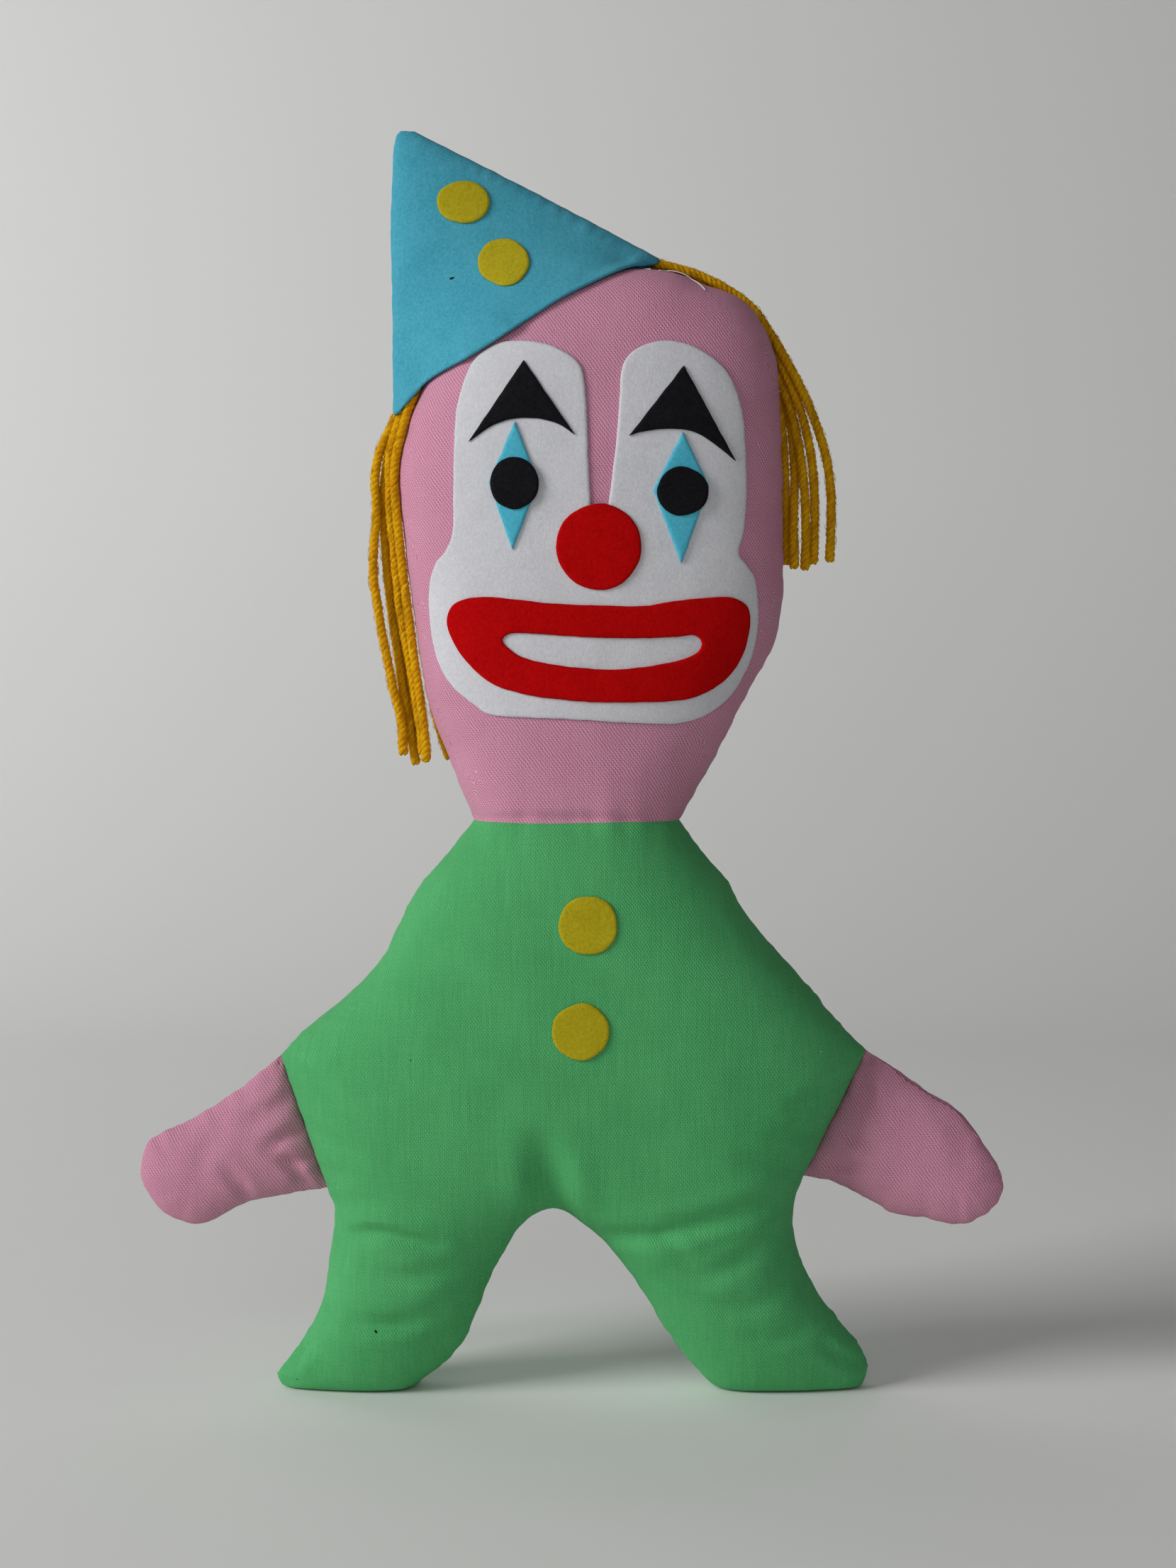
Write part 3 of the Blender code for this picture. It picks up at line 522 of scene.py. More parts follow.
def blownUp(flat, faces, fixed):
    # how far a skin held at its fixed points lifts under an even push
    n = len(flat)
    stiff, load = np.zeros((n, n)), np.zeros(n)
    p = flat[faces]
    area = 0.5 * np.abs(np.cross(p[:, 1] - p[:, 0], p[:, 2] - p[:, 0]))
    for i in range(3):
        j, k = (i + 1) % 3, (i + 2) % 3
        cot = ((p[:, j] - p[:, i]) * (p[:, k] - p[:, i])).sum(axis=1) / (4 * area)
        a, b = faces[:, j], faces[:, k]
        np.add.at(stiff, (a, b), -cot)
        np.add.at(stiff, (b, a), -cot)
        np.add.at(stiff, (a, a), cot)
        np.add.at(stiff, (b, b), cot)
        np.add.at(load, faces[:, i], area / 3)
    free = np.setdiff1d(np.arange(n), fixed)
    lift = np.zeros(n)
    lift[free] = np.linalg.solve(stiff[np.ix_(free, free)], load[free])
    return np.maximum(lift, 0)


def heightTree(flat, lift, faces):
    return BVHTree.FromPolygons([Vector((x, z, u)) for (x, z), u in zip(flat, lift)], faces.tolist())


def readHeights(tree, points):
    hits = [tree.ray_cast(Vector((x, z, 1e5)), Vector((0, 0, -1)))[0] for x, z in points]
    return np.array([h.z if h else 0.0 for h in hits])


def puffed(lift, full, most):
    rise = full * np.sqrt(np.maximum(lift, 0)) / most
    return most * rise / np.sqrt(1 + rise**2)


def vertexNormals(points, faces):
    a, b, c = (points[faces[:, i]] for i in range(3))
    face = np.cross(b - a, c - a)
    normal = np.zeros_like(points)
    for i in range(3):
        np.add.at(normal, faces[:, i], face)
    return normal / np.maximum(np.linalg.norm(normal, axis=1), 1e-12)[:, None]


def wobble(x, y, z=0.0):
    return np.array([noise.noise(Vector((a, b, c))) for a, b, c in np.broadcast(x, y, z)])


def wobbleOver(flat, size, seed):
    return wobble(flat[:, 0] / size, flat[:, 1] / size, seed)


def laidFlat(points, faces, start, rounds=260):
    # relaxes the flat pattern until its edges are as long as the cloth's
    pairs = np.unique(np.sort(edgesOf(faces), axis=1), axis=0)
    a, b = pairs.T
    size = np.linalg.norm(points[a] - points[b], axis=1)
    count = np.bincount(a, minlength=len(points)) + np.bincount(b, minlength=len(points))
    p = start.copy()
    for _ in range(rounds):
        gap = p[b] - p[a]
        now = np.maximum(np.linalg.norm(gap, axis=1), 1e-9)
        push = gap * (0.5 * (now - size) / now)[:, None]
        for k in range(2):
            step = np.bincount(a, push[:, k], len(p)) - np.bincount(b, push[:, k], len(p))
            p[:, k] += 1.6 * step / count
    return p


def makePiece(name, points, faces, material, uv=None, uvName=None, normals=None):
    mesh = bpy.data.meshes.new(name)
    mesh.from_pydata((np.asarray(points) * mm).tolist(), [], [list(map(int, f)) for f in faces])
    mesh.shade_smooth()
    mesh.materials.append(materials[material])
    if uv is not None:
        layer = mesh.uv_layers.new(name=uvName)
        corners = np.empty(len(mesh.loops), int)
        mesh.loops.foreach_get("vertex_index", corners)
        layer.data.foreach_set("uv", (np.asarray(uv)[corners] * 0.01).ravel())
    if normals is not None:
        mesh.normals_split_custom_set_from_vertices([tuple(n) for n in normals])
    piece = bpy.data.objects.new(name, mesh)
    scene.collection.objects.link(piece)
    return piece


def declareStuffed(piece, node, fill, blend):
    a, b, start, end = blend
    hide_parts(node)
    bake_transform(piece)
    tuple(start)
    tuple(end)


def declareSheet(base, flat, faces):
    # its flat size is that of the draped sheet relaxed back on to a plane
    flat = laidFlat(base, faces, flat, 60)


# cloth and felt that other pieces rest on: tree, faces, points and normals of each
skins = {}
castFrom = 300  # well outside the doll


def keepSkin(label, points, faces, normals):
    skins[label] = (BVHTree.FromPolygons([Vector(p) for p in points], faces.tolist()), faces, points, normals)


def castOn(label, x, z, side=-1):
    # where a line from the front or the back meets a skin, and the face it meets
    hit, _, index, _ = skins[label][0].ray_cast(Vector((x, side * castFrom, z)), Vector((0, -side, 0)))
    return hit, index


# ---------- the doll's outline, as runs that meet at corners

neckRight, neckLeft = (-37, 215.5), (41, 215.5)
armRightTop, armRightLow = (-110.5, 126), (-92.5, 75.5)
armLeftTop, armLeftLow = (112, 128), (88, 80)
hipRightOut, hipRightIn = (-90, 62), (-19, 62)
hipLeftIn, hipLeftOut = (5, 62), (84, 62)
bodyRuns = [
    [
        neckRight, (-41, 225), (-46, 238), (-54, 259), (-59, 288), (-63, 318), (-66, 345), (-64, 358),
        (-59, 374), (-50, 391), (-36, 406), (-18, 417), (4, 423), (24, 424.5), (40, 422.5), (50, 418.5),
        (60, 415.5), (67, 411), (73, 403), (78, 389), (79, 374), (80, 350), (80.5, 310), (79.5, 293),
        (76, 280), (66, 262), (56, 242), (47, 226), neckLeft,
    ],
    [neckLeft, (48, 206), (58, 194), (70, 175), (86, 157), (104, 136), armLeftTop],
    [armLeftTop, armLeftLow],
    [armLeftLow, (84.5, 71), hipLeftOut],
    [hipLeftOut, (87, 49), (94, 35), (102, 25), (109, 16), (113, 8)],
    [(113, 8), (111, 1), (106, -4)],
    [(106, -4), (59, -4)],
    [(59, -4), (53, 1), (46, 8.5), (40, 16), (32, 28), (24, 41), (14, 54), hipLeftIn],
    [hipLeftIn, (0, 66), (-7, 68), (-14, 66), hipRightIn],
    [hipRightIn, (-24, 54), (-31, 41), (-36, 28), (-42, 16), (-50, 7.5), (-58, 1), (-64, -4)],
    [(-64, -4), (-106, -4)],
    [(-106, -4), (-110.5, 0.5), (-112, 5)],
    [(-112, 5), (-105, 14), (-99, 23), (-94, 35), (-92, 49), hipRightOut],
    [hipRightOut, (-90, 69), armRightLow],
    [armRightLow, armRightTop],
    [armRightTop, (-101, 136), (-84, 150), (-72, 163), (-65, 177), (-58, 190), (-46, 204), neckRight],
]
# which body each run belongs to: 0 head, 1 torso, 2 left leg, 3 right leg
bodyOfRun = [0, 1, 1, 1, 2, 2, 2, 2, 1, 3, 3, 3, 3, 1, 1, 1]

stuffing = {
    "full": 1.15,
    "most": 48.0,
    "outlineStep": 2.0,
    "gridStep": 3.2,
    "rowEnd": 2.4,
    "seamDepth": 0.9,
    "puckers": 0.42,
    "lumps": 0.7,
    "neckPinch": 1.7,
    "floorRound": 1.6,
}
armStuffing = dict(
    stuffing, full=0.62, most=30.0, outlineStep=1.6, gridStep=2.6, rowEnd=2.0, puckers=0.5, lumps=0.45
)
ringShares = (0.0, 0.06, 0.14, 0.25, 0.38, 0.53, 0.68, 0.84, 1.0)
plan = {
    "coarse": 5.0,  # outline and grid of the skin that is blown up first
    "coarseGrid": 5.5,
    "coarseClear": 3.2,
    "rows": (3.1, 4.0, 5.1, 6.5, 8.2, 10.3),
    "rowGap": 1.15,
    "gridClear": 11.6,
    "foldPitch": 1.7,
    "foldRows": (-4.4, -2.8, -1.6, -0.7, 0.7, 1.6, 2.8, 4.4),
    "foldClear": 5.2,
}
sideLabels = ((-1, "front"), (1, "back"))


def sewnShape(runs, s, splits=()):
    # a flat plan with rings of points that crowd towards its seam, and how far it is blown out
    coarse, _ = runsOutline(runs, plan["coarse"])
    flat, faces = meshed([coarse], gridIn(coarse, plan["coarseGrid"], plan["coarseClear"]))
    tree = heightTree(flat, blownUp(flat, faces, np.arange(len(coarse))), faces)

    loop, starts = runsOutline(runs, s["outlineStep"])
    n, inward, far = len(loop), inwardNormals(loop), s["rowEnd"]
    edgeLift = readHeights(tree, loop + inward * far)
    edgeLift = (edgeLift + np.roll(edgeLift, 1) + np.roll(edgeLift, -1)) / 3
    ringed = [loop + inward * far * share**2 for share in ringShares]
    lifts = [edgeLift * share**2 for share in ringShares]
    last = ringed[-1]
    rows = thinned(np.vstack(rowsIn(loop, inward, plan["rows"], 0.95)), plan["rowGap"])
    loose = np.vstack([rows, gridIn(loop, s["gridStep"], plan["gridClear"])])
    # lines where the cloth is split, with rows of points beside them
    lines = []
    for a, b, sag in splits:
        ia, ib = (int(np.linalg.norm(loop - np.array(p), axis=1).argmin()) for p in (a, b))
        pa, pb = last[ia], last[ib]
        long = np.linalg.norm(pb - pa)
        inner = max(2, round(long / plan["foldPitch"]))
        t = np.linspace(0, 1, inner + 1)[1:-1, None]
        way = (pb - pa) / long
        up = np.array([-way[1], way[0]])
        line = pa + (pb - pa) * t + up * sag * (4 * t * (1 - t))
        t = (loose - pa) @ way
        share = np.clip(t / long, 0, 1)
        gap = np.abs((loose - pa) @ up - sag * 4 * share * (1 - share))
        loose = loose[(gap > plan["foldClear"]) | (t < -1) | (t > long + 1)]
        lines.append((ia, ib, line, up))
    extra, chains = [], []
    for ia, ib, line, up in lines:
        first = n + len(loose) + sum(map(len, extra))
        chains.append([ia, *range(first, first + len(line)), ib])
        near = np.vstack([line + up * off for off in plan["foldRows"]])
        extra += [line, near[nearestOn(loop, near)[0] > far + 0.6]]
    flat, faces = meshed([last], np.vstack([loose, *extra]), chains)
    # the rings outside the last one, joined to it
    outer = len(ringShares) - 1
    shift = n * outer
    flat = np.vstack([*ringed[:-1], flat])
    ring = np.arange(n)
    following = (ring + 1) % n
    quads = []
    for k in range(outer):
        a, b = k * n, (k + 1) * n
        quads.append(np.column_stack([a + ring, a + following, b + following]))
        quads.append(np.column_stack([a + ring, b + following, b + ring]))
    ringFaces = np.vstack(quads)
    if turnOf(loop) < 0:
        ringFaces = ringFaces[:, ::-1]
    allLift = np.concatenate([*lifts[:-1], readHeights(tree, flat[shift:])])
    allLift[shift : shift + n] = lifts[-1]
    rise = puffed(allLift, s["full"], s["most"])
    away, at = nearestOn(loop, flat)
    away[:n] = 0
    return {
        "flat": flat, "faces": np.vstack([ringFaces, faces + shift]), "rise": rise, "loop": loop, "inward": inward,
        "n": n, "starts": starts, "ringColumns": np.tile(ring, 2 * outer), "seamFar": np.hypot(away, rise),
        "seamAt": at, "chains": [[i + shift for i in c] for c in chains], "shift": shift,
    }


def soft(z, w):
    return 0.5 * (z + np.sqrt(z * z + w * w))


def overShares(loop, path):
    # how far each point of a seam is turned over, 0 to 1
    line = smoothCurve(path, 1.5)
    gaps = np.hypot(loop[:, 0, None] - line[:, 0], loop[:, 1, None] - line[:, 1])
    t = gaps.argmin(axis=1) / (len(line) - 1)
    return np.clip(5 * np.minimum(t, 1 - t), 0, 1) * (gaps.min(axis=1) < 4)


def clothSide(shape, s, side, dents, seed, over=None):
    # 3-D points of the front (side -1) or the back of a stuffed shape
    flat, rise = shape["flat"], shape["rise"].copy()
    n, arc, at = shape["n"], shape["seamFar"], shape["seamAt"]
    rise += dents(flat[:, 0], flat[:, 1], rise, side)
    points = np.column_stack([flat[:, 0], side * rise, flat[:, 1]])
    points[:n, 1] = 0
    faces = shape["faces"] if side < 0 else shape["faces"][:, ::-1]
    normal = vertexNormals(points, faces)
    fine = wobble(at / 4.2, arc / 30, seed) * np.exp(-arc / 7)
    pucker = fine + 0.8 * wobble(at / 10.5, arc / 40, seed + 9) * np.exp(-arc / 16)
    pucker *= 1 + 0.8 * wobble(at / 50, 0.3, seed + 5)
    lumps = wobbleOver(flat, 34, seed + 20) + 0.3 * wobbleOver(flat, 12, seed + 31)
    lumps *= np.clip(arc / 25, 0, 1)
    move = s["puckers"] * 1.6 * pucker + s["lumps"] * lumps
    move[:n] = 0
    points += normal * move[:, None]
    # the seam's two edges curl in
    curl = s["seamDepth"] * (1 + 0.5 * wobble(at[:n] / 6, 0.5, seed + 3))
    for k, share in enumerate((1.0, 0.42, 0.12)):
        points[k * n : (k + 1) * n, [0, 2]] += shape["inward"] * (curl * share)[:, None]
    if over:
        share = overShares(shape["loop"], over["path"])
        for k, ring in enumerate(ringShares[:6]):
            left = share * ((1 - ring) if side < 0 else (1.0, 0.45, 0, 0, 0, 0)[k])
            band = slice(k * n, (k + 1) * n)
            points[band, 1] -= over["forward"] * left
            points[band, 0] += shape["inward"][:, 0] * over["inward"] * left
            points[band, 2] += shape["inward"][:, 1] * over["inward"] * left
    points[:, 2] = soft(points[:, 2], s["floorRound"])
    return points, faces


def clothPattern(shape, points, faces):
    # where each point lies on the flat cloth
    n, shift, start = shape["n"], shape["shift"], shape["flat"].copy()
    last = points[shift : shift + n]
    for k in range(len(ringShares) - 1):
        band = slice(k * n, (k + 1) * n)
        away = np.linalg.norm(points[band] - last, axis=1)[:, None]
        start[band] = shape["flat"][shift : shift + n] - shape["inward"] * away
    return laidFlat(points, faces, start)


# hollows and folds pressed into the front: path, depth, half width, and a ridge beside it
folds = {
    "front": [
        {"path": [(-7, 62), (-7, 72), (-7.6, 80), (-10, 94)], "deep": 4.6, "wide": 5.0},
        {"path": [(2, 58), (16, 61), (36, 64), (58, 70), (80, 76)], "deep": 2.1, "wide": 3.0},
        {"path": [(34, 62), (47, 48), (60, 51), (74, 60)], "deep": 1.3, "wide": 2.6},
        {"path": [(34, 47), (44, 40), (58, 35), (70, 36), (78, 42)], "deep": 1.3, "wide": 2.6},
        {"path": [(64, 24), (76, 22), (90, 27)], "deep": 0.9, "wide": 2.2},
        {"path": [(-84, 61), (-72, 63), (-60, 61), (-50, 58)], "deep": 2.1, "wide": 2.4},
        {"path": [(-76, 48), (-62, 46), (-46, 49)], "deep": 1.7, "wide": 2.6},
        {"path": [(-90, 32), (-78, 28), (-62, 29), (-48, 33)], "deep": 1.9, "wide": 2.4},
        {"path": [(-88, 72), (-72, 76), (-56, 74)], "deep": 0.8, "wide": 3.4},
        {"path": [(-108, 10), (-103, 13), (-98, 19)], "deep": 2.4, "wide": 1.7},
        {"path": [(108, 11), (100, 14), (94, 19)], "deep": 2.0, "wide": 1.7},
        {"path": [(-97, 100), (-88, 96), (-78, 90)], "deep": 1.1, "wide": 2.2},
        {"path": [(-104, 122), (-94, 118), (-84, 110)], "deep": 1.1, "wide": 2.2},
        {"path": [(-92, 84), (-80, 84), (-66, 80)], "deep": 0.9, "wide": 2.6},
        {"path": [(104, 118), (94, 116), (82, 109)], "deep": 1.3, "wide": 2.2},
        {"path": [(95, 98), (86, 100), (74, 98)], "deep": 1.1, "wide": 2.4},
        {"path": [(88, 84), (78, 88), (64, 90)], "deep": 1.2, "wide": 3.0},
    ],
    "back": [
        {"path": [(-7, 62), (-7, 72), (-7.6, 80), (-9, 92)], "deep": 4.0, "wide": 5.0},
        {"path": [(-14, 62), (-40, 66), (-78, 64)], "deep": 1.6, "wide": 3.0},
        {"path": [(-38, 46), (-60, 44), (-84, 48)], "deep": 0.9, "wide": 2.6},
        {"path": [(0, 62), (30, 64), (74, 68)], "deep": 1.7, "wide": 3.0},
        {"path": [(30, 46), (56, 42), (80, 46)], "deep": 0.9, "wide": 2.6},
        {"path": [(-100, 118), (-84, 116), (-70, 110)], "deep": 0.9, "wide": 2.4},
        {"path": [(100, 118), (84, 116), (70, 110)], "deep": 0.9, "wide": 2.4},
    ],
}
# seams that lie on the front, so that the back cloth shows beyond them
overturned = {
    "body": {"path": [(44, 211), (50, 203), (59, 193), (70, 176)], "forward": 2.6, "inward": 1.5},
    "arm_left": {
        "path": [(116, 125.4), (123, 121), (136, 112), (146, 106), (152, 99), (157, 92)],
        "forward": 2.2,
        "inward": 1.5,
    },
}
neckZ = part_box("head_front_panel")[0][2] / mm


def pressed(x, z, entries):
    found = np.zeros(len(x))
    for e in entries:
        line = smoothCurve(e["path"], 1.5)
        near = (np.abs(x - line[:, 0].mean()) < 70) & (np.abs(z - line[:, 1].mean()) < 40)
        gap = np.hypot(x[near, None] - line[:, 0], z[near, None] - line[:, 1])
        k = gap.argmin(axis=1)
        far = gap.min(axis=1) / e["wide"]
        fade = np.sin(np.pi * (0.12 + 0.76 * k / max(1, len(line) - 1)))
        found[near] += e["deep"] * fade * (0.45 * np.exp(-0.5 * ((far - 2.1) / 0.9) ** 2) - np.exp(-0.5 * far**2))
    return found


def bodyDents(x, z, rise, side):
    high = z - neckZ
    near = np.exp(-0.5 * (high / 1.5) ** 2) * stuffing["neckPinch"] + np.exp(-0.5 * (high / 8) ** 2) * 1.2
    close = np.abs(high) < 26
    gather = np.zeros(len(x))
    gather[close] = wobble(x[close] / 5.5, 0.4, 7.0 + side) * np.exp(-np.abs(high[close]) / 8) * 0.9
    amount = -near + gather + pressed(x, z, folds["front" if side < 0 else "back"])
    return np.maximum(amount * np.clip(rise / 8, 0, 1), -0.42 * rise)


print("sewing the body")
crotchX = -7
splits = [(neckRight, neckLeft, -0.6), (hipRightOut, hipRightIn, 0.0), (hipLeftIn, hipLeftOut, 0.0)]
body = sewnShape(bodyRuns, stuffing, splits)
columnBody = np.zeros(body["n"], int)
for run, first in enumerate(body["starts"]):
    columnBody[first:] = bodyOfRun[run]
ringCount = len(body["ringColumns"])
middle = body["flat"][body["faces"][ringCount:]].mean(axis=1)
neckLine, rightHip, leftHip = (body["flat"][chain] for chain in body["chains"])


def above(line):
    order = line[:, 0].argsort()
    return middle[:, 1] > np.interp(middle[:, 0], line[order, 0], line[order, 1])


inner = np.where(above(neckLine), 0, 1)
inner[~above(rightHip) & (middle[:, 0] < rightHip[:, 0].max() + 0.01)] = 3
inner[~above(leftHip) & (middle[:, 0] > leftHip[:, 0].min() - 0.01)] = 2
faceBody = np.concatenate([columnBody[body["ringColumns"]], inner])

neckBlend = ("torso", "head", (0, 0, 0.195), (0, 0, 0.240))
bodyCloth = {"head": "pinkTwill", "torso": "greenTwill", "leg_left": "greenTwill", "leg_right": "greenTwill"}
blends = {
    "head": neckBlend,
    "torso": neckBlend,
    "leg_left": ("torso", "left_leg", (0.0445, 0, 0.062), (0.0445, 0, 0.030)),
    "leg_right": ("torso", "right_leg", (-0.0545, 0, 0.062), (-0.0545, 0, 0.030)),
}
bodyFill, armFill = 0.75, 0.5
for side, label in sideLabels:
    points, faces = clothSide(body, stuffing, side, bodyDents, 3.0 if side < 0 else 71.0, overturned["body"])
    normals = vertexNormals(points, faces)
    pattern = clothPattern(body, points, faces)
    keepSkin(label, points, faces, normals)
    for k, (name, cloth) in enumerate(bodyCloth.items()):
        used, index = np.unique(faces[faceBody == k], return_inverse=True)
        index = index.reshape(-1, 3)
        piece = makePiece(
            f"{name}_{label}_cloth", points[used], index, cloth, pattern[used], "clothPattern", normals[used]
        )
        declareStuffed(piece, f"{name}_{label}_panel", bodyFill, blends[name])
print("body cloth sewn:", len(body["flat"]), "points a side")

mittRight = [
    [
        armRightTop, (-126.5, 113), (-142, 103), (-153.5, 97.5), (-161, 93), (-164, 82), (-159.5, 71),
        (-150.5, 63.5), (-139, 62), (-124.5, 69.5), (-111, 72.5), armRightLow,
    ],
    [armRightLow, armRightTop],
]
mittLeft = [
    [
        armLeftLow, (100, 77.5), (113.5, 71), (121.5, 66.5), (134.5, 64.5), (146.5, 62.5), (156, 66.5), (162, 72),
        (163, 79), (160, 87), (152, 99), (146, 106), (136, 112), (123, 121), armLeftTop,
    ],
    [armLeftTop, armLeftLow],
]
armFolds = {
    "arm_right": [
        {"path": [(-104, 112), (-113, 106), (-122, 102)], "deep": 1.1, "wide": 2.2},
        {"path": [(-99, 98), (-108, 96), (-115, 91)], "deep": 1.7, "wide": 1.9},
        {"path": [(-96, 89), (-104, 86.5), (-112, 89)], "deep": 1.6, "wide": 1.7},
        {"path": [(-101, 77), (-104.5, 83), (-109, 87)], "deep": 1.6, "wide": 1.7},
        {"path": [(-122, 71), (-125, 77), (-131, 84)], "deep": 1.4, "wide": 2.0},
        {"path": [(-133, 99), (-138, 90), (-140, 80)], "deep": 0.6, "wide": 3.0},
    ],
    "arm_left": [
        {"path": [(109, 122), (112, 112), (116, 104)], "deep": 1.0, "wide": 2.2},
        {"path": [(100, 102), (106, 96), (114, 92)], "deep": 1.2, "wide": 2.2},
        {"path": [(94, 88), (102, 85), (112, 84)], "deep": 1.5, "wide": 2.2},
        {"path": [(140, 104), (146, 96), (148, 86)], "deep": 0.6, "wide": 3.0},
    ],
}
mitts = {
    "arm_right": {"body": "right_arm", "runs": mittRight, "ends": (armRightLow, armRightTop), "forward": 0.0},
    "arm_left": {"body": "left_arm", "runs": mittLeft, "ends": (armLeftTop, armLeftLow), "forward": 0.1},
}
mittBlendLong = 0.018


def seamMiddle(a, b):
    # the middle of an arm's seam, and the way the arm goes from it
    a, b = np.array(a, float), np.array(b, float)
    return (a + b) / 2, np.array([-(b - a)[1], (b - a)[0]]) / np.linalg.norm(b - a)


def mittBlend(name):
    middle, outward = seamMiddle(*mitts[name]["ends"])
    start = Vector((middle[0], 0, middle[1])) * mm
    return "torso", mitts[name]["body"], start, start + Vector((outward[0], 0, outward[1])) * mittBlendLong


def leant(points, mitt):
    # a mitt leans towards the front, further with the distance from its seam
    middle, outward = seamMiddle(*mitt["ends"])
    beyond = np.maximum((points[:, [0, 2]] - middle) @ outward - 4, 0)
    points[:, 1] -= mitt["forward"] * beyond**2 / (beyond + 6)


for name, mitt in mitts.items():
    shape = sewnShape(mitt["runs"], armStuffing)

    def mittDents(x, z, rise, side):
        return pressed(x, z, armFolds[name]) * np.clip(rise / 3, 0, 1)

    for side, label in sideLabels:
        seed = 131.0 + side * 7 + (5 if "left" in name else 0)
        points, faces = clothSide(shape, armStuffing, side, mittDents, seed, overturned.get(name))
        leant(points, mitt)
        pattern = clothPattern(shape, points, faces)
        piece = makePiece(f"{name}_{label}_cloth", points, faces, "pinkTwill", pattern, "clothPattern")
        declareStuffed(piece, f"{name}_{label}_panel", armFill, mittBlend(name))
print("mitts sewn")

# ---------- what fills them

filling = {
    "step": 7.0,
    "clear": 4.0,
    "hingeSlope": 2.0,  # how fast it may rise away from a joint
    "share": 0.8,
    "less": 3.0,
    "rimIn": 3.0,
    "bumps": 0.9,
    "bumpSize": 9,
    "bodyFill": 0.75,
    "armFill": 0.4,
}
hipHeight, neckHeight = 62, 215.5
fillings = [
    ("head", bodyRuns, lambda m: m[:, 1] > neckHeight + 3.5, [(neckRight, neckLeft)]),
    (
        "torso", bodyRuns, lambda m: (m[:, 1] < neckHeight - 3.5) & (m[:, 1] > hipHeight + 4),
        [(neckLeft, neckRight), (hipRightOut, hipLeftOut)],
    ),
    ("leg_right", bodyRuns, lambda m: (m[:, 1] < hipHeight - 4) & (m[:, 0] < crotchX), [((-10, 62), hipRightOut)]),
    ("leg_left", bodyRuns, lambda m: (m[:, 1] < hipHeight - 4) & (m[:, 0] > crotchX), [(hipLeftOut, (-7, 62))]),
    ("arm_right", mittRight, None, [mitts["arm_right"]["ends"]]),
    ("arm_left", mittLeft, None, [mitts["arm_left"]["ends"]]),
]


def fillingPiece(name, runs, keep, hinges):
    mitt, f = mitts.get(name), filling
    s = armStuffing if mitt else stuffing
    loop, _ = runsOutline(runs, f["step"])
    flat, faces = meshed([loop], gridIn(loop, f["step"], f["clear"]))
    rise = puffed(blownUp(flat, faces, np.arange(len(loop))), s["full"], s["most"])
    if keep:
        faces = faces[keep(flat[faces].mean(axis=1))]
    used, index = np.unique(faces, return_inverse=True)
    faces, flat, rise = index.reshape(-1, 3), flat[used], rise[used]
    for a, b in hinges:
        a, b = np.array(a, float), np.array(b, float)
        normal = np.array([-(b - a)[1], (b - a)[0]]) / np.linalg.norm(b - a)
        rise = np.minimum(rise, np.maximum((flat - a) @ normal, 0.0) * f["hingeSlope"])
    rise = np.maximum(f["share"] * rise - f["less"], 0.0)
    rim = np.unique(rimOf(faces))
    rise[rim] = 0
    centre = flat.mean(axis=0)
    flat[rim] += units(centre - flat[rim]) * f["rimIn"]
    bumps = np.where(rise > 2, f["bumps"] * wobbleOver(flat, f["bumpSize"], 4.0), 0)
    z = soft(flat[:, 1], 3.0) + 0.8
    front = np.column_stack([flat[:, 0], -(rise + bumps), z])
    rear = np.column_stack([flat[:, 0], rise - bumps, z])
    rear[rim] = front[rim]
    if mitt:
        leant(front, mitt)
        leant(rear, mitt)
    skin = np.vstack([faces, faces[:, ::-1] + len(flat)])
    piece = makePiece(f"{name}_filling", np.vstack([front, rear]), skin, "filling")
    fill, blend = (f["armFill"], mittBlend(name)) if mitt else (f["bodyFill"], blends[name])
    declareStuffed(piece, f"{name}_stuffing", fill, blend)


for one in fillings:
    fillingPiece(*one)
print("filled")

# ---------- yarn hair: each lock's points are (x, z, y), with y the depth behind the seams

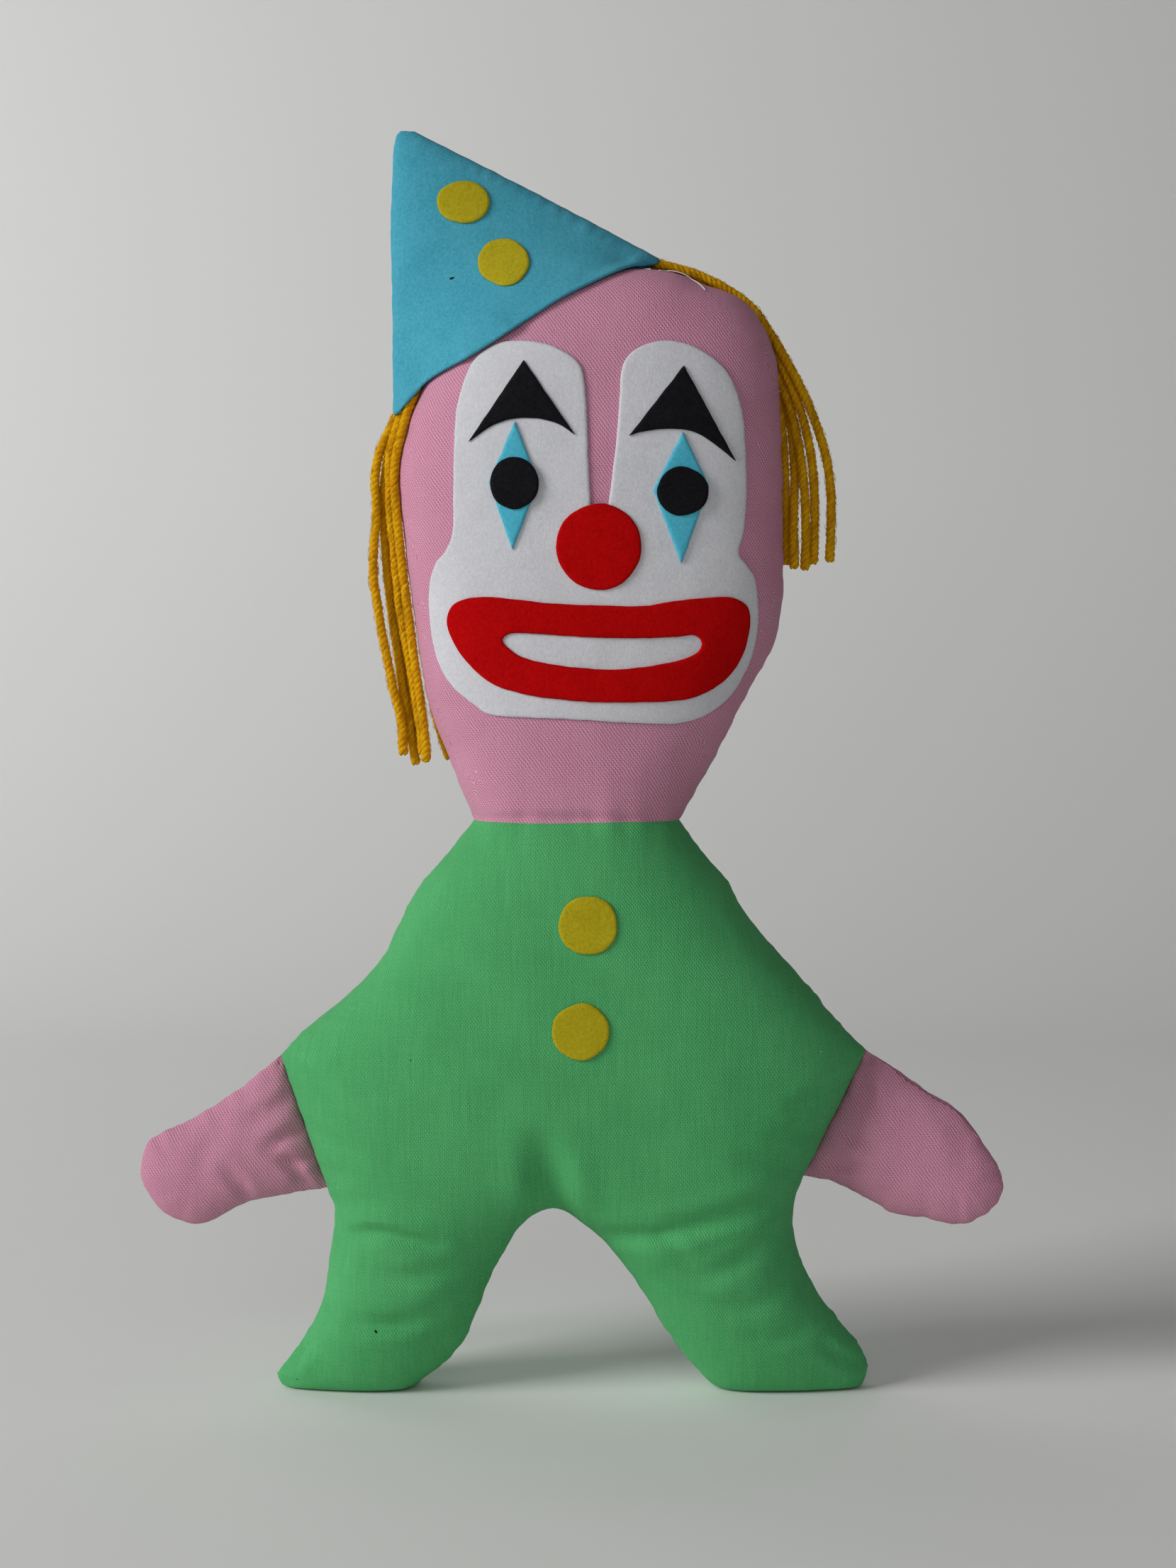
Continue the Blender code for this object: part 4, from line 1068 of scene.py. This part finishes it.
yarn = {
    "across": 3.7,
    "plies": 3,
    "plyShare": 0.285,
    "turn": 6.6,
    "step": 0.8,
    "sides": 8,
    "clear": 0.15,
    "strayHairs": 4.0,  # for each millimetre
    "strayRadius": 0.06,
    "opens": 9,  # how much of the cut end comes loose
}
locks = {
    "hair_right_1": [
        (-58.5, 383, 0.6), (-64, 374, -0.8), (-69.2, 363, -1.7), (-72.9, 351, -1.9), (-75, 335, -1.9),
        (-75.6, 318, -1.9), (-74.2, 303, -1.9), (-72.2, 290, -1.9), (-69, 275, -1.9), (-66.4, 260, -1.9),
        (-65.2, 250, -1.9), (-64.8, 240, -1.9),
    ],
    "hair_right_2": [
        (-57, 383.5, 4.2), (-62.6, 374, 3.2), (-67.6, 363, 2.3), (-70.4, 351, 1.9), (-71.4, 335, 1.9),
        (-70.7, 318, 1.9), (-69.3, 303, 1.9), (-68, 290, 1.9), (-65.6, 275, 1.9), (-62.8, 260, 1.9),
        (-61, 250, 1.9), (-59.5, 236.4, 1.9),
    ],
    "hair_right_3": [
        (-55, 386, -2.6), (-61, 377, -4), (-66, 366, -5), (-69.2, 351, -5.6), (-69, 335, -4.6),
        (-67.6, 318, -3), (-65.8, 303, -1.8), (-63.8, 290, -1.2), (-62.2, 275, -1.2), (-59.6, 260, -1.2),
        (-57.6, 250, -1.2), (-56.4, 240.4, -1.2),
    ],
    "hair_right_4": [
        (-52.5, 387.5, -6.2), (-58.4, 379, -7.6), (-63, 367, -8.6), (-65.6, 351, -9.4), (-65.6, 335, -8.6),
        (-64.9, 318, -7), (-62.9, 300, -5.6), (-61, 290, -5), (-59.6, 275, -4.5), (-57.4, 260, -4),
        (-56.2, 250, -3.8), (-54.8, 237.4, -3.6),
    ],
    "hair_right_5": [
        (-55, 385, 8), (-60.4, 375, 7.4), (-65, 363, 6.6), (-67.8, 351, 6), (-68, 335, 5.6),
        (-68, 318, 5.2), (-66.4, 297, 4.8), (-63.7, 277, 4.4), (-60, 257, 4.2), (-58.5, 244, 4.2),
    ],
    "hair_right_6": [
        (-54, 384, 11), (-58, 373, 11.4), (-60.8, 360, 11.8), (-61.2, 340, 13), (-59.5, 318, 13),
        (-57.5, 297, 13), (-54.3, 277, 13), (-50.5, 257, 12), (-47, 239, 10),
    ],
    "hair_left_1": [
        (31, 427.6, 0.4), (41, 426.2, 1.2), (50, 423.6, 2), (57.5, 420.4, 3), (64.6, 415.8, 4.4),
        (70.3, 409.6, 4.8), (76.4, 401.6, 4.8), (81.3, 394.4, 4), (84.9, 386.3, 3), (88.9, 376.4, 2),
        (92.5, 366.6, 1), (97, 354, 0), (99, 345, 0), (99.4, 334, 0), (99.3, 322, 0), (98.8, 313.5, 0),
    ],
    "hair_left_2": [
        (30.5, 426.8, 4.0), (40.5, 425.2, 4.9), (50, 422.4, 5.8), (57, 418.8, 6.8), (63.8, 414, 8.2),
        (69.4, 408, 8.6), (75.2, 400.6, 8.6), (80, 393.4, 7.9), (83.6, 385.6, 6.9), (87.4, 376, 5.8),
        (90.6, 366.4, 4.8), (93.2, 354, 3.8), (93.4, 345, 3.2), (92.8, 334, 2.8), (92.6, 322, 2.6),
        (92.2, 313, 2.6),
    ],
    "hair_left_3": [
        (31, 424.8, 7.8), (41, 422.6, 8.9), (50, 419.8, 9.8), (57, 416, 10.8), (63, 411, 12),
        (68, 405.4, 12.4), (73.6, 398, 12.4), (78, 391, 11.6), (81.2, 384, 10.2), (84, 375, 8.4),
        (86.4, 366, 6.6), (88.6, 354, 4.2), (89.2, 345, 1.6), (89.2, 334, -0.4), (89.4, 322, -0.8),
        (89.2, 310.4, -0.8),
    ],
    "hair_left_4": [
        (32, 422.6, 11.4), (41.5, 420, 12.8), (50, 417, 13.6), (57, 413.4, 14.8), (62.4, 408.4, 15.6),
        (67, 402.8, 16), (72, 396, 16), (75.8, 389.4, 15), (78.4, 383, 13.2), (80.4, 375, 11.2),
        (81.4, 366, 9.4), (82, 354, 7.8), (82, 342, 6.4), (82, 330, 5.6), (82.4, 320, 5), (82.6, 313, 5),
    ],
    "hair_left_5": [
        (33, 420, 15.0), (42, 416.6, 16.4), (50, 413.8, 17.4), (56, 410.4, 18.6), (61, 405.6, 19.4),
        (65.4, 400, 19.8), (70.4, 393.4, 19.4), (75, 387, 18.2), (79, 381, 16.4), (82.4, 374, 14.4),
        (84.6, 366, 12.4), (85.4, 354, 8.6), (85.4, 342, 5), (85.4, 330, 2), (85.4, 320, 1),
        (85.2, 311, 0.8),
    ],
}


# where each bunch leaves the hat, and a point a little further along it
hairRoots = {
    "right_hair": ((-0.0605, 0, 0.3775), (-0.0685, 0, 0.3595)),
    "left_hair": ((0.031, 0, 0.4285), (0.047, 0, 0.4235)),
}


def strandLine(points, others, seed):
    # the middle of a strand, kept off the cloth and the strands before it
    line = smoothCurve([(x, y, z) for x, z, y in points], 5.0)
    far = np.arange(len(line)) * 5.0
    slack = np.clip(far / 30, 0, 1)[:, None]
    for wave, amount in ((27, 1.5), (10, 0.6)):
        sway = np.column_stack([wobble(far / wave, seed, k) for k in (0.3, 5.3, 0.0)])
        line += slack * amount * sway * (1, 1, 0)
    apart, off = yarn["across"] + 0.1, yarn["across"] / 2 + yarn["clear"]
    for _ in range(30):
        moved = 0.0
        for i, p in enumerate(line):
            for side, label in sideLabels:
                hit, normal, _, far = skins[label][0].find_nearest(Vector(p))
                over = castOn(label, p[0], p[2], side)[0]
                if over is not None and -0.5 < side * p[1] < side * over.y:
                    way, gap = np.array(normal), -far
                else:
                    way, gap = (p - np.array(hit)) / max(far, 1e-6), far
                if gap < off:
                    p = p + way * (off - gap)
                    moved = max(moved, off - gap)
            for other in others:
                a, b = other[:-1], other[1:]
                t = ((p - a) * (b - a)).sum(axis=1) / ((b - a) ** 2).sum(axis=1)
                near = a + np.clip(t, 0, 1)[:, None] * (b - a)
                gaps = np.linalg.norm(p - near, axis=1)
                k = int(gaps.argmin())
                if gaps[k] < apart:
                    p = p + (p - near[k]) / gaps[k] * (apart - gaps[k])
                    moved = max(moved, apart - gaps[k])
            line[i] = p
        line[1:-1] = 0.8 * line[1:-1] + 0.1 * (line[:-2] + line[2:])
        if moved < 0.05:
            break
    return line


def tube(path, radii, sides):
    # closed tube along a path, with its (along, round) measure in millimetres
    way = units(np.gradient(path, axis=0))
    up = np.cross(way[0], (0.0, 1.0, 0.1))
    up /= np.linalg.norm(up)
    verts, uv, along = [], [], 0.0
    turn = np.linspace(0, 2 * np.pi, sides, endpoint=False)
    for i, p in enumerate(path):
        up = up - way[i] * (up @ way[i])
        up /= np.linalg.norm(up)
        across = np.cross(way[i], up)
        if i:
            along += np.linalg.norm(p - path[i - 1])
        for a in turn:
            verts.append(p + radii[i] * (np.cos(a) * up + np.sin(a) * across))
            uv.append((along, a * radii[i]))
    faces = []
    for i in range(len(path) - 1):
        for k in range(sides):
            a, b = i * sides + k, i * sides + (k + 1) % sides
            faces.append((a, b, b + sides, a + sides))
    first, last = len(verts), len(verts) + 1
    verts += [path[0], path[-1]]
    uv += [(0, 0), (along, 0)]
    end = (len(path) - 1) * sides
    faces += [(first, (k + 1) % sides, k) for k in range(sides)]
    faces += [(last, end + k, end + (k + 1) % sides) for k in range(sides)]
    return verts, faces, uv


def addTube(mesh, part):
    points, faces, uv = part
    first = len(mesh[0])
    mesh[0].extend(points)
    mesh[1].extend([i + first for i in face] for face in faces)
    mesh[2].extend(uv)


def yarnStrand(name, line, bodyName, seed):
    across, plies = yarn["across"], yarn["plies"]
    fine = smoothCurve(line, yarn["step"])
    far = lengthsAlong(fine)
    way = units(np.gradient(fine, axis=0))
    up = np.cross(way[0], (0.0, 1.0, 0.1))
    ups = []
    for w in way:
        up = up - w * (up @ w)
        up /= np.linalg.norm(up)
        ups.append(up)
    ups = np.array(ups)
    rights = np.cross(way, ups)
    mesh = ([], [], [])
    ply = across * yarn["plyShare"]
    ends = np.clip(np.minimum(far, far[-1] - far) / 1.2, 0, 1)
    loose = np.clip((far - far[-1] + yarn["opens"]) / yarn["opens"], 0, 1)
    for k in range(plies):
        phase = 2 * np.pi * (far / yarn["turn"] + k / plies + seed) + 0.35 * wobble(far / 9, k, seed * 7)
        out = (across / 2 - ply) * (1 + 0.28 * loose) * (1 + 0.08 * wobble(far / 6, k + 0.5, seed * 5))
        path = fine + ups * (np.cos(phase) * out)[:, None] + rights * (np.sin(phase) * out)[:, None]
        thick = ply * (1 + 0.1 * wobble(far / 3.5, k, seed * 3))
        radii = thick * np.sqrt(np.clip(ends, 0.12, 1)) * (1 + 0.06 * loose)
        v, f, u = tube(path, radii, yarn["sides"])
        addTube(mesh, (v, f, [(a, b + 43 * k + 17 * seed) for a, b in u]))
    # a few stray hairs
    rng = np.random.default_rng(int(seed * 1000) + 5)
    t = np.linspace(0, 1, 5)[:, None]
    for _ in range(int(far[-1] * yarn["strayHairs"])):
        i = int(rng.integers(2, len(fine) - 6))
        angle, reach = rng.uniform(0, 2 * np.pi), rng.uniform(1.0, 3.0)
        out = ups[i] * np.cos(angle) + rights[i] * np.sin(angle)
        aside = np.cross(way[i], out)
        hair = fine[i] + out * (across * 0.44) + way[i] * t * reach * rng.choice([-1, 1])
        hair = hair + out * (0.75 * rng.uniform(0.3, 1)) * np.sin(np.pi * t * 0.8)
        hair = hair + aside * t**2 * rng.uniform(-0.8, 0.8)
        addTube(mesh, tube(hair, np.full(len(t), yarn["strayRadius"]), 3))
    piece = makePiece(name + "_yarn", mesh[0], mesh[1], "yarn", mesh[2], "yarnRun")
    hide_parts(name)
    start, end = hairRoots[bodyName]
    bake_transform(piece)
    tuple(start)
    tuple(end)
    [tuple(p * mm) for p in smoothCurve(line, 6.0)]


strands = []
for number, (name, points) in enumerate(locks.items()):
    strands.append(strandLine(points, strands, 3.7 * number + 0.5))
    yarnStrand(name, strands[-1], "right_hair" if "right" in name else "left_hair", 0.13 + 0.171 * number)
print("hair hung:", len(strands), "strands")

# ---------- felt on the face

feltThick = 1.1


def surfaceAt(label, x, z):
    # the point and smooth normal of a skin's front at x, z
    tree, faces, points, normals = skins[label]
    hit, index = castOn(label, x, z)
    if hit is None:
        hit, _, index, _ = tree.find_nearest(Vector((x, -5, z)))
    i, j, k = faces[index]
    p = np.array(hit)
    a, b, c = points[i], points[j], points[k]
    v0, v1, v2 = b - a, c - a, p - a
    d00, d01, d11, d20, d21 = v0 @ v0, v0 @ v1, v1 @ v1, v2 @ v0, v2 @ v1
    under = max(d00 * d11 - d01 * d01, 1e-12)
    v, w = (d11 * d20 - d01 * d21) / under, (d00 * d21 - d01 * d20) / under
    normal = normals[i] * (1 - v - w) + normals[j] * v + normals[k] * w
    return p, normal / np.linalg.norm(normal)


def draped(label, flat, gap):
    base, ways = [], []
    for x, z in flat:
        ax, az = x, z
        for _ in range(3):
            p, way = surfaceAt(label, ax, az)
            ax, az = x - way[0] * gap, z - way[2] * gap
        base.append(p)
        ways.append(way)
    return np.array(base), np.array(ways)


def drawnIn(loop, label="front", above=0.0):
    # an outline on a raised surface looks bigger than it is, so it is drawn in towards the camera's axis
    found = loop.copy()
    for i, p in enumerate(loop):
        q = p
        for _ in range(3):
            hit = castOn(label, q[0], q[1])[0]
            share = 1 - (above - hit.y if hit is not None else 0.0) * mm / -studio["eye"][1]
            q = eyeAxis + (p - eyeAxis) * share
        found[i] = q
    return found


feltPoints = {"cut": 0.16, "step": 2.8, "rows": (0.35, 1.2), "clear": 1.9, "outline": 1.5}


def feltPlan(loop, holes, seed):
    # a flat sheet with unevenly cut edges, and how far each point is from them
    f, rings, loose = feltPoints, [], []
    for k, one in enumerate([loop, *holes]):
        way = inwardNormals(one, 0.6) * (1 if k == 0 else -1)
        at = np.arange(len(one)) * f["outline"]
        uneven = wobble(at / 5, 0.2, seed + k) + 0.6 * wobble(at / 1.9, 0.6, seed + k)
        one = one + way * (f["cut"] * uneven)[:, None]
        rings.append(one)
        loose += rowsIn(one, way, f["rows"], 0.9)
    grid = hexGrid(rings[0], f["step"])
    keep = insideOf(grid, rings[0])
    for one in rings:
        keep &= nearestOn(one, grid)[0] > f["clear"]
    for hole in rings[1:]:
        keep &= ~insideOf(grid, hole)
    flat, faces = meshed(rings, np.vstack([*loose, grid[keep]]))
    far = np.min([nearestOn(one, flat)[0] for one in rings], axis=0)
    far[: sum(map(len, rings))] = 0
    return flat, faces, far


def twoSided(top, low, faces):
    # both faces of a sheet and the walls round its edges
    n = len(top)
    walls = [(b, a, a + n, b + n) for a, b in rimOf(faces)]
    return np.vstack([top, low]), [*faces.tolist(), *(faces[:, ::-1] + n).tolist(), *walls]


def thickened(flat, faces, far, base, ways, gap, thick, seed, lift):
    edge = np.where(far < 0.05, 0.52, np.where(far < 0.6, 0.9, 1.0))
    nap = 0.05 * wobbleOver(flat, 1.3, seed) + 0.08 * wobbleOver(flat, 6, seed + 2)
    rise = lift * np.exp(-far / 4) * (0.5 + wobbleOver(flat, 14, seed + 4))
    top = base + ways * (gap + thick * edge + np.where(far < 0.05, 0, nap) + rise)[:, None]
    low = base + ways * (gap + np.where(far < 0.05, 0.12 * thick, 0) + rise)[:, None]
    return twoSided(top, low, faces)


def feltPiece(
    name, loop, look, rests, gap, seed, label="front", holes=(), rides="head", lift=0.0, thick=feltThick
):
    loop = drawnIn(loop, label, gap + thick)
    flat, faces, far = feltPlan(loop, [drawnIn(hole, label, gap + thick) for hole in holes], seed)
    base, ways = draped(label, flat, gap + thick)
    piece = makePiece(f"{name}_felt", *thickened(flat, faces, far, base, ways, gap, thick, seed, lift), look)
    declareSheet(base, flat, faces)
    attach(piece, rides)
    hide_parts(name)


def ringLoop(points):
    return smoothCurve(points, feltPoints["outline"], closed=True)[:-1]


def edgedLoop(runs):
    return runsOutline(runs, feltPoints["outline"])[0]


def discLoop(x, z, across, high, uneven, seed):
    turn = np.linspace(0, 2 * np.pi, int(2 * np.pi * across / feltPoints["outline"]), endpoint=False)
    size = 1 + uneven * wobble(np.cos(turn) * 1.4, np.sin(turn) * 1.4, seed)
    return np.column_stack([x + across * size * np.cos(turn), z + high * size * np.sin(turn)])


maskOutline = [
    (-28, 397), (-37, 391), (-42, 380), (-44.5, 367), (-45.2, 341), (-45.4, 326), (-48, 318), (-52, 313),
    (-54.5, 304), (-54, 288), (-51, 275), (-45.5, 266), (-37, 259), (-29, 255), (1, 253.5), (28, 252),
    (43, 252.3), (53, 256), (61, 262.5), (66, 270.5), (69.5, 279), (71.5, 291), (70.5, 306), (67, 312.5),
    (64, 317), (66, 326), (67, 341), (66.5, 358), (65.3, 371), (62, 381.5), (57, 389), (47, 395.7),
    (37.5, 398), (29.5, 397), (23, 393.5), (19.3, 387.5), (18.4, 377), (17.5, 365), (16.2, 352), (14.3, 337),
    (13.6, 330), (7.8, 330), (7.2, 337), (6.5, 352), (5.8, 371), (4.3, 386), (1.3, 391), (-5, 395),
    (-10.5, 397), (-18, 398),
]
lipsOutline = [
    (-47.7, 291), (-46, 296.5), (-41, 299.3), (-31, 300.2), (-8, 297.8), (10.4, 297), (27, 296.8), (40, 298.7),
    (53, 300), (61, 300), (66.5, 297.4), (68.3, 293), (67.8, 285.8), (65, 276.7), (59.4, 269), (50.4, 263.2),
    (40, 260.6), (13, 260), (-7.7, 261.5), (-20.6, 263.8), (-31, 267.5), (-40, 275.4), (-45.8, 284),
]
teethOutline = [
    (-26.4, 284), (-23, 286.3), (-16, 286.3), (7.8, 284.8), (27, 284.5), (40, 285), (47, 285.6), (50, 282.5),
    (47.5, 278.6), (41, 276), (27.2, 273.5), (12.9, 272.6), (-5, 274.2), (-18, 277), (-24.5, 281),
]
feltGap = 0.12
layerGap = 0.08
overMask = feltGap + feltThick + layerGap
overEye = overMask + feltThick + layerGap
onMask = "face_mask_felt"
nosePlace = (10.4, 319.5, 16.4, 16.4)
feltPiece("face_mask", ringLoop(maskOutline), "whiteFelt", "head_front_cloth", feltGap, 1.0)
feltPiece("mouth", ringLoop(lipsOutline), "redFelt", onMask, overMask, 2.0, holes=[ringLoop(teethOutline)])
feltPiece("nose", discLoop(*nosePlace, 0.03, 3.0), "redFelt", onMask, overMask, 3.0)
browRight = [
    [(-18.3, 390.7), (-39.4, 359.5)],
    [(-39.4, 359.5), (-31, 365.3), (-22, 368.3), (-13, 368.3), (-5, 366.3), (1.3, 362.1)],
    [(1.3, 362.1), (-18.3, 390.7)],
]
browLeft = [
    [(42.9, 388.6), (22, 361.8)],
    [(22, 361.8), (28.4, 363.6), (37.5, 364.4), (46.5, 363.4), (54.3, 358.8), (62.9, 352.1)],
    [(62.9, 352.1), (42.9, 388.6)],
]
diamondRight = [(-21.6, 367.2), (-31.6, 344), (-22.6, 318.2), (-12.5, 344)]
diamondLeft = [(42.6, 363.2), (31.3, 341), (42, 313), (52.6, 342.5)]
for name, brow, diamond, pupil, seed in (
    ("right", browRight, diamondRight, (-21.9, 343.7, 9.4, 9.9), 5.0),
    ("left", browLeft, diamondLeft, (42.4, 340.5, 9.8, 9.4), 9.0),
):
    feltPiece(f"brow_{name}", edgedLoop(brow), "blackFelt", onMask, overMask, seed)
    corners = list(zip(diamond, diamond[1:] + diamond[:1]))
    feltPiece(f"eye_diamond_{name}", edgedLoop(corners), "skyFelt", onMask, overMask, seed + 1)
    pupilLoop = discLoop(*pupil, 0.04, seed)
    feltPiece(f"pupil_{name}", pupilLoop, "blackFelt", f"eye_diamond_{name}_felt", overEye, seed + 2)
onBody = {"rides": "torso", "lift": 0.25, "thick": 0.85}
for name, button, seed in (("upper", (6.4, 175.1, 11.4, 11.4), 20.0), ("lower", (3.5, 134.6, 11.1, 10.6), 23.0)):
    buttonLoop = discLoop(*button, 0.06, seed)
    feltPiece(f"button_{name}", buttonLoop, "yellowFelt", "torso_front_cloth", feltGap, seed, **onBody)
print("felt laid on")

# ---------- the hat

hatRuns = [
    [(-67.1, 368.6), (-67.4, 410), (-68, 440), (-67, 471)],
    [(-67, 471), (-65.3, 476.5), (-60, 476.6)],
    [(-60, 476.6), (-10.3, 451.3), (34.3, 427.6)],
    [
        (34.3, 427.6), (20.7, 425.1), (7.8, 419.6), (-5, 413), (-18, 404.7), (-37.4, 392.4), (-53, 383.5),
        (-60, 376.5), (-67.1, 368.6),
    ],
]
hat = {
    "full": 0.5,
    "most": 26.0,
    "outlineStep": 1.6,
    "rows": (0.3, 0.9, 1.8, 3.0),
    "rowGap": 0.28,
    "step": 2.6,
    "clear": 4.2,
    "thick": 1.15,
    "gap": 0.5,
    "probe": 1.4,
    "hairUnder": 34,  # how much of each strand may lie under the hat
    "smoothing": 120,
}


def hatFloor(drawn, side, label):
    # how far out the head, the face and the hair hold the hat
    floor, d = np.zeros(len(drawn)), hat["probe"]
    for i, (x, z) in enumerate(drawn):
        for dx, dz in ((0, 0), (d, 0), (-d, 0), (0, d), (0, -d)):
            hit = castOn(label, x + dx, z + dz, side)[0]
            if hit is not None:
                floor[i] = max(floor[i], side * hit.y + hat["gap"])
    if side < 0:
        floor += (feltThick + 0.2) * insideOf(drawn, np.array(maskOutline, float)) * (floor > 1)
    for line in strands:
        for p in smoothCurve(line, 1.0)[: hat["hairUnder"]]:
            gap, reach = np.hypot(drawn[:, 0] - p[0], drawn[:, 1] - p[2]), yarn["across"] / 2 + 0.35
            over = side * p[1] + np.sqrt(np.maximum(reach**2 - gap**2, 0))
            floor = np.where(gap < reach, np.maximum(floor, over), floor)
    return floor


def hatSide(side, label):
    loop, starts = runsOutline(hatRuns, hat["outlineStep"])
    rows = rowsIn(loop, inwardNormals(loop, 0.8), hat["rows"], 0.92)
    grid = gridIn(loop, hat["step"], hat["clear"])
    flat, faces = meshed([loop], np.vstack([thinned(np.vstack(rows), hat["rowGap"]), grid]))
    free = starts[3] + 1  # the last run of the outline isn't sewn
    sewn = np.arange(free)
    held = puffed(blownUp(flat, faces, sewn), hat["full"], hat["most"]) + 0.3
    a, b = edgesOf(faces).T
    count = np.bincount(a, minlength=len(flat)) + np.bincount(b, minlength=len(flat))
    drawn, rise = flat.copy(), held
    for _ in range(3):
        floor = hatFloor(drawn, side, label)
        rise = np.maximum(rise, floor)
        for _ in range(hat["smoothing"]):
            mean = (np.bincount(a, rise[b], len(flat)) + np.bincount(b, rise[a], len(flat))) / count
            rise = np.maximum(np.maximum(0.85 * mean + 0.15 * rise, floor), held * 0.9)
            rise[sewn] = 0.05
        if side < 0:
            drawn = eyeAxis + (flat - eyeAxis) * (1 + rise * mm / studio["eye"][1])[:, None]
    flat = drawn
    rise = rise + 0.35 * wobbleOver(flat, 16, 40.0 + side) * np.clip((rise - 1) / 5, 0, 1)
    far = nearestOn(loop[:free], flat)[0]
    far[sewn] = 0
    base = np.column_stack([flat[:, 0], side * rise, flat[:, 1]])
    fronted = faces if side < 0 else faces[:, ::-1]
    ways = vertexNormals(base, fronted)
    edge = np.where(far < 0.05, 0.3, np.minimum(1, 0.35 + np.sqrt(far / 0.9)))
    edge[free : len(loop)] = 0.75
    nap = 0.06 * wobbleOver(flat, 1.4, 50.0) * np.clip(far, 0, 1)
    pull = 0.3 * wobble(nearestOn(loop, flat)[1] / 5, 0.2, 60.0) * np.exp(-far / 4) * np.clip(far / 0.5, 0, 1)
    top = base + ways * (hat["thick"] * edge + nap + pull)[:, None]
    piece = makePiece(f"hat_{label}_felt", *twoSided(top, base, fronted), "blueFelt")
    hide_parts(f"hat_{label}")
    declareSheet(base, flat, faces)
    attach(piece, "head")
    if side < 0:
        keepSkin("hat", top, fronted, vertexNormals(top, fronted))


for side, label in sideLabels:
    hatSide(side, label)
onHat = {"label": "hat", "lift": 0.15, "thick": 0.9}
for name, spot, seed in (("upper", (-41.2, 450.8, 10.2, 8.2), 30.0), ("lower", (-26, 428, 9.8, 8.9), 33.0)):
    feltPiece(f"hat_spot_{name}", discLoop(*spot, 0.06, seed), "yellowFelt", "hat_front_felt", 0.08, seed, **onHat)
print("hat made")

# a loose end of sewing thread beside the hat's corner
threadEnds = [(33, -5.5, 422.4), (37.5, -6.6, 422.8), (43, -6.4, 421.4), (47.5, -5.4, 417.8), (50.2, -5.2, 413.8)]
threadPath = smoothCurve(threadEnds, 1.0)
for p in threadPath:
    hit = castOn("front", p[0], p[2])[0]
    if hit is not None:
        p[1] = min(p[1], hit.y - 0.5)
v, f, u = tube(threadPath, np.full(len(threadPath), 0.2), 7)
thread = makePiece("loose_thread", v, f, "thread")
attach(thread, "head")
print("thread laid")

# bits of dark lint caught on the hat and the leg
lintRadii = (0.1, 0.3, 0.36, 0.34, 0.26, 0.1)
for name, label, rides, (x, z), reach in (
    ("lint_hat", "hat", "head", (-44.8, 418.6), (1.5, 0.5)),
    ("lint_leg", "front", "right_leg", (-72.6, 25.4), (0.7, -0.9)),
):
    along = np.linspace(-0.6, 0.6, len(lintRadii))
    path = [surfaceAt(label, x + t * reach[0], z + t * reach[1])[0] - (0, 0.12, 0) for t in along]
    v, f, u = tube(np.array(path), lintRadii, 7)
    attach(makePiece(name, v, f, "blackFelt"), rides)
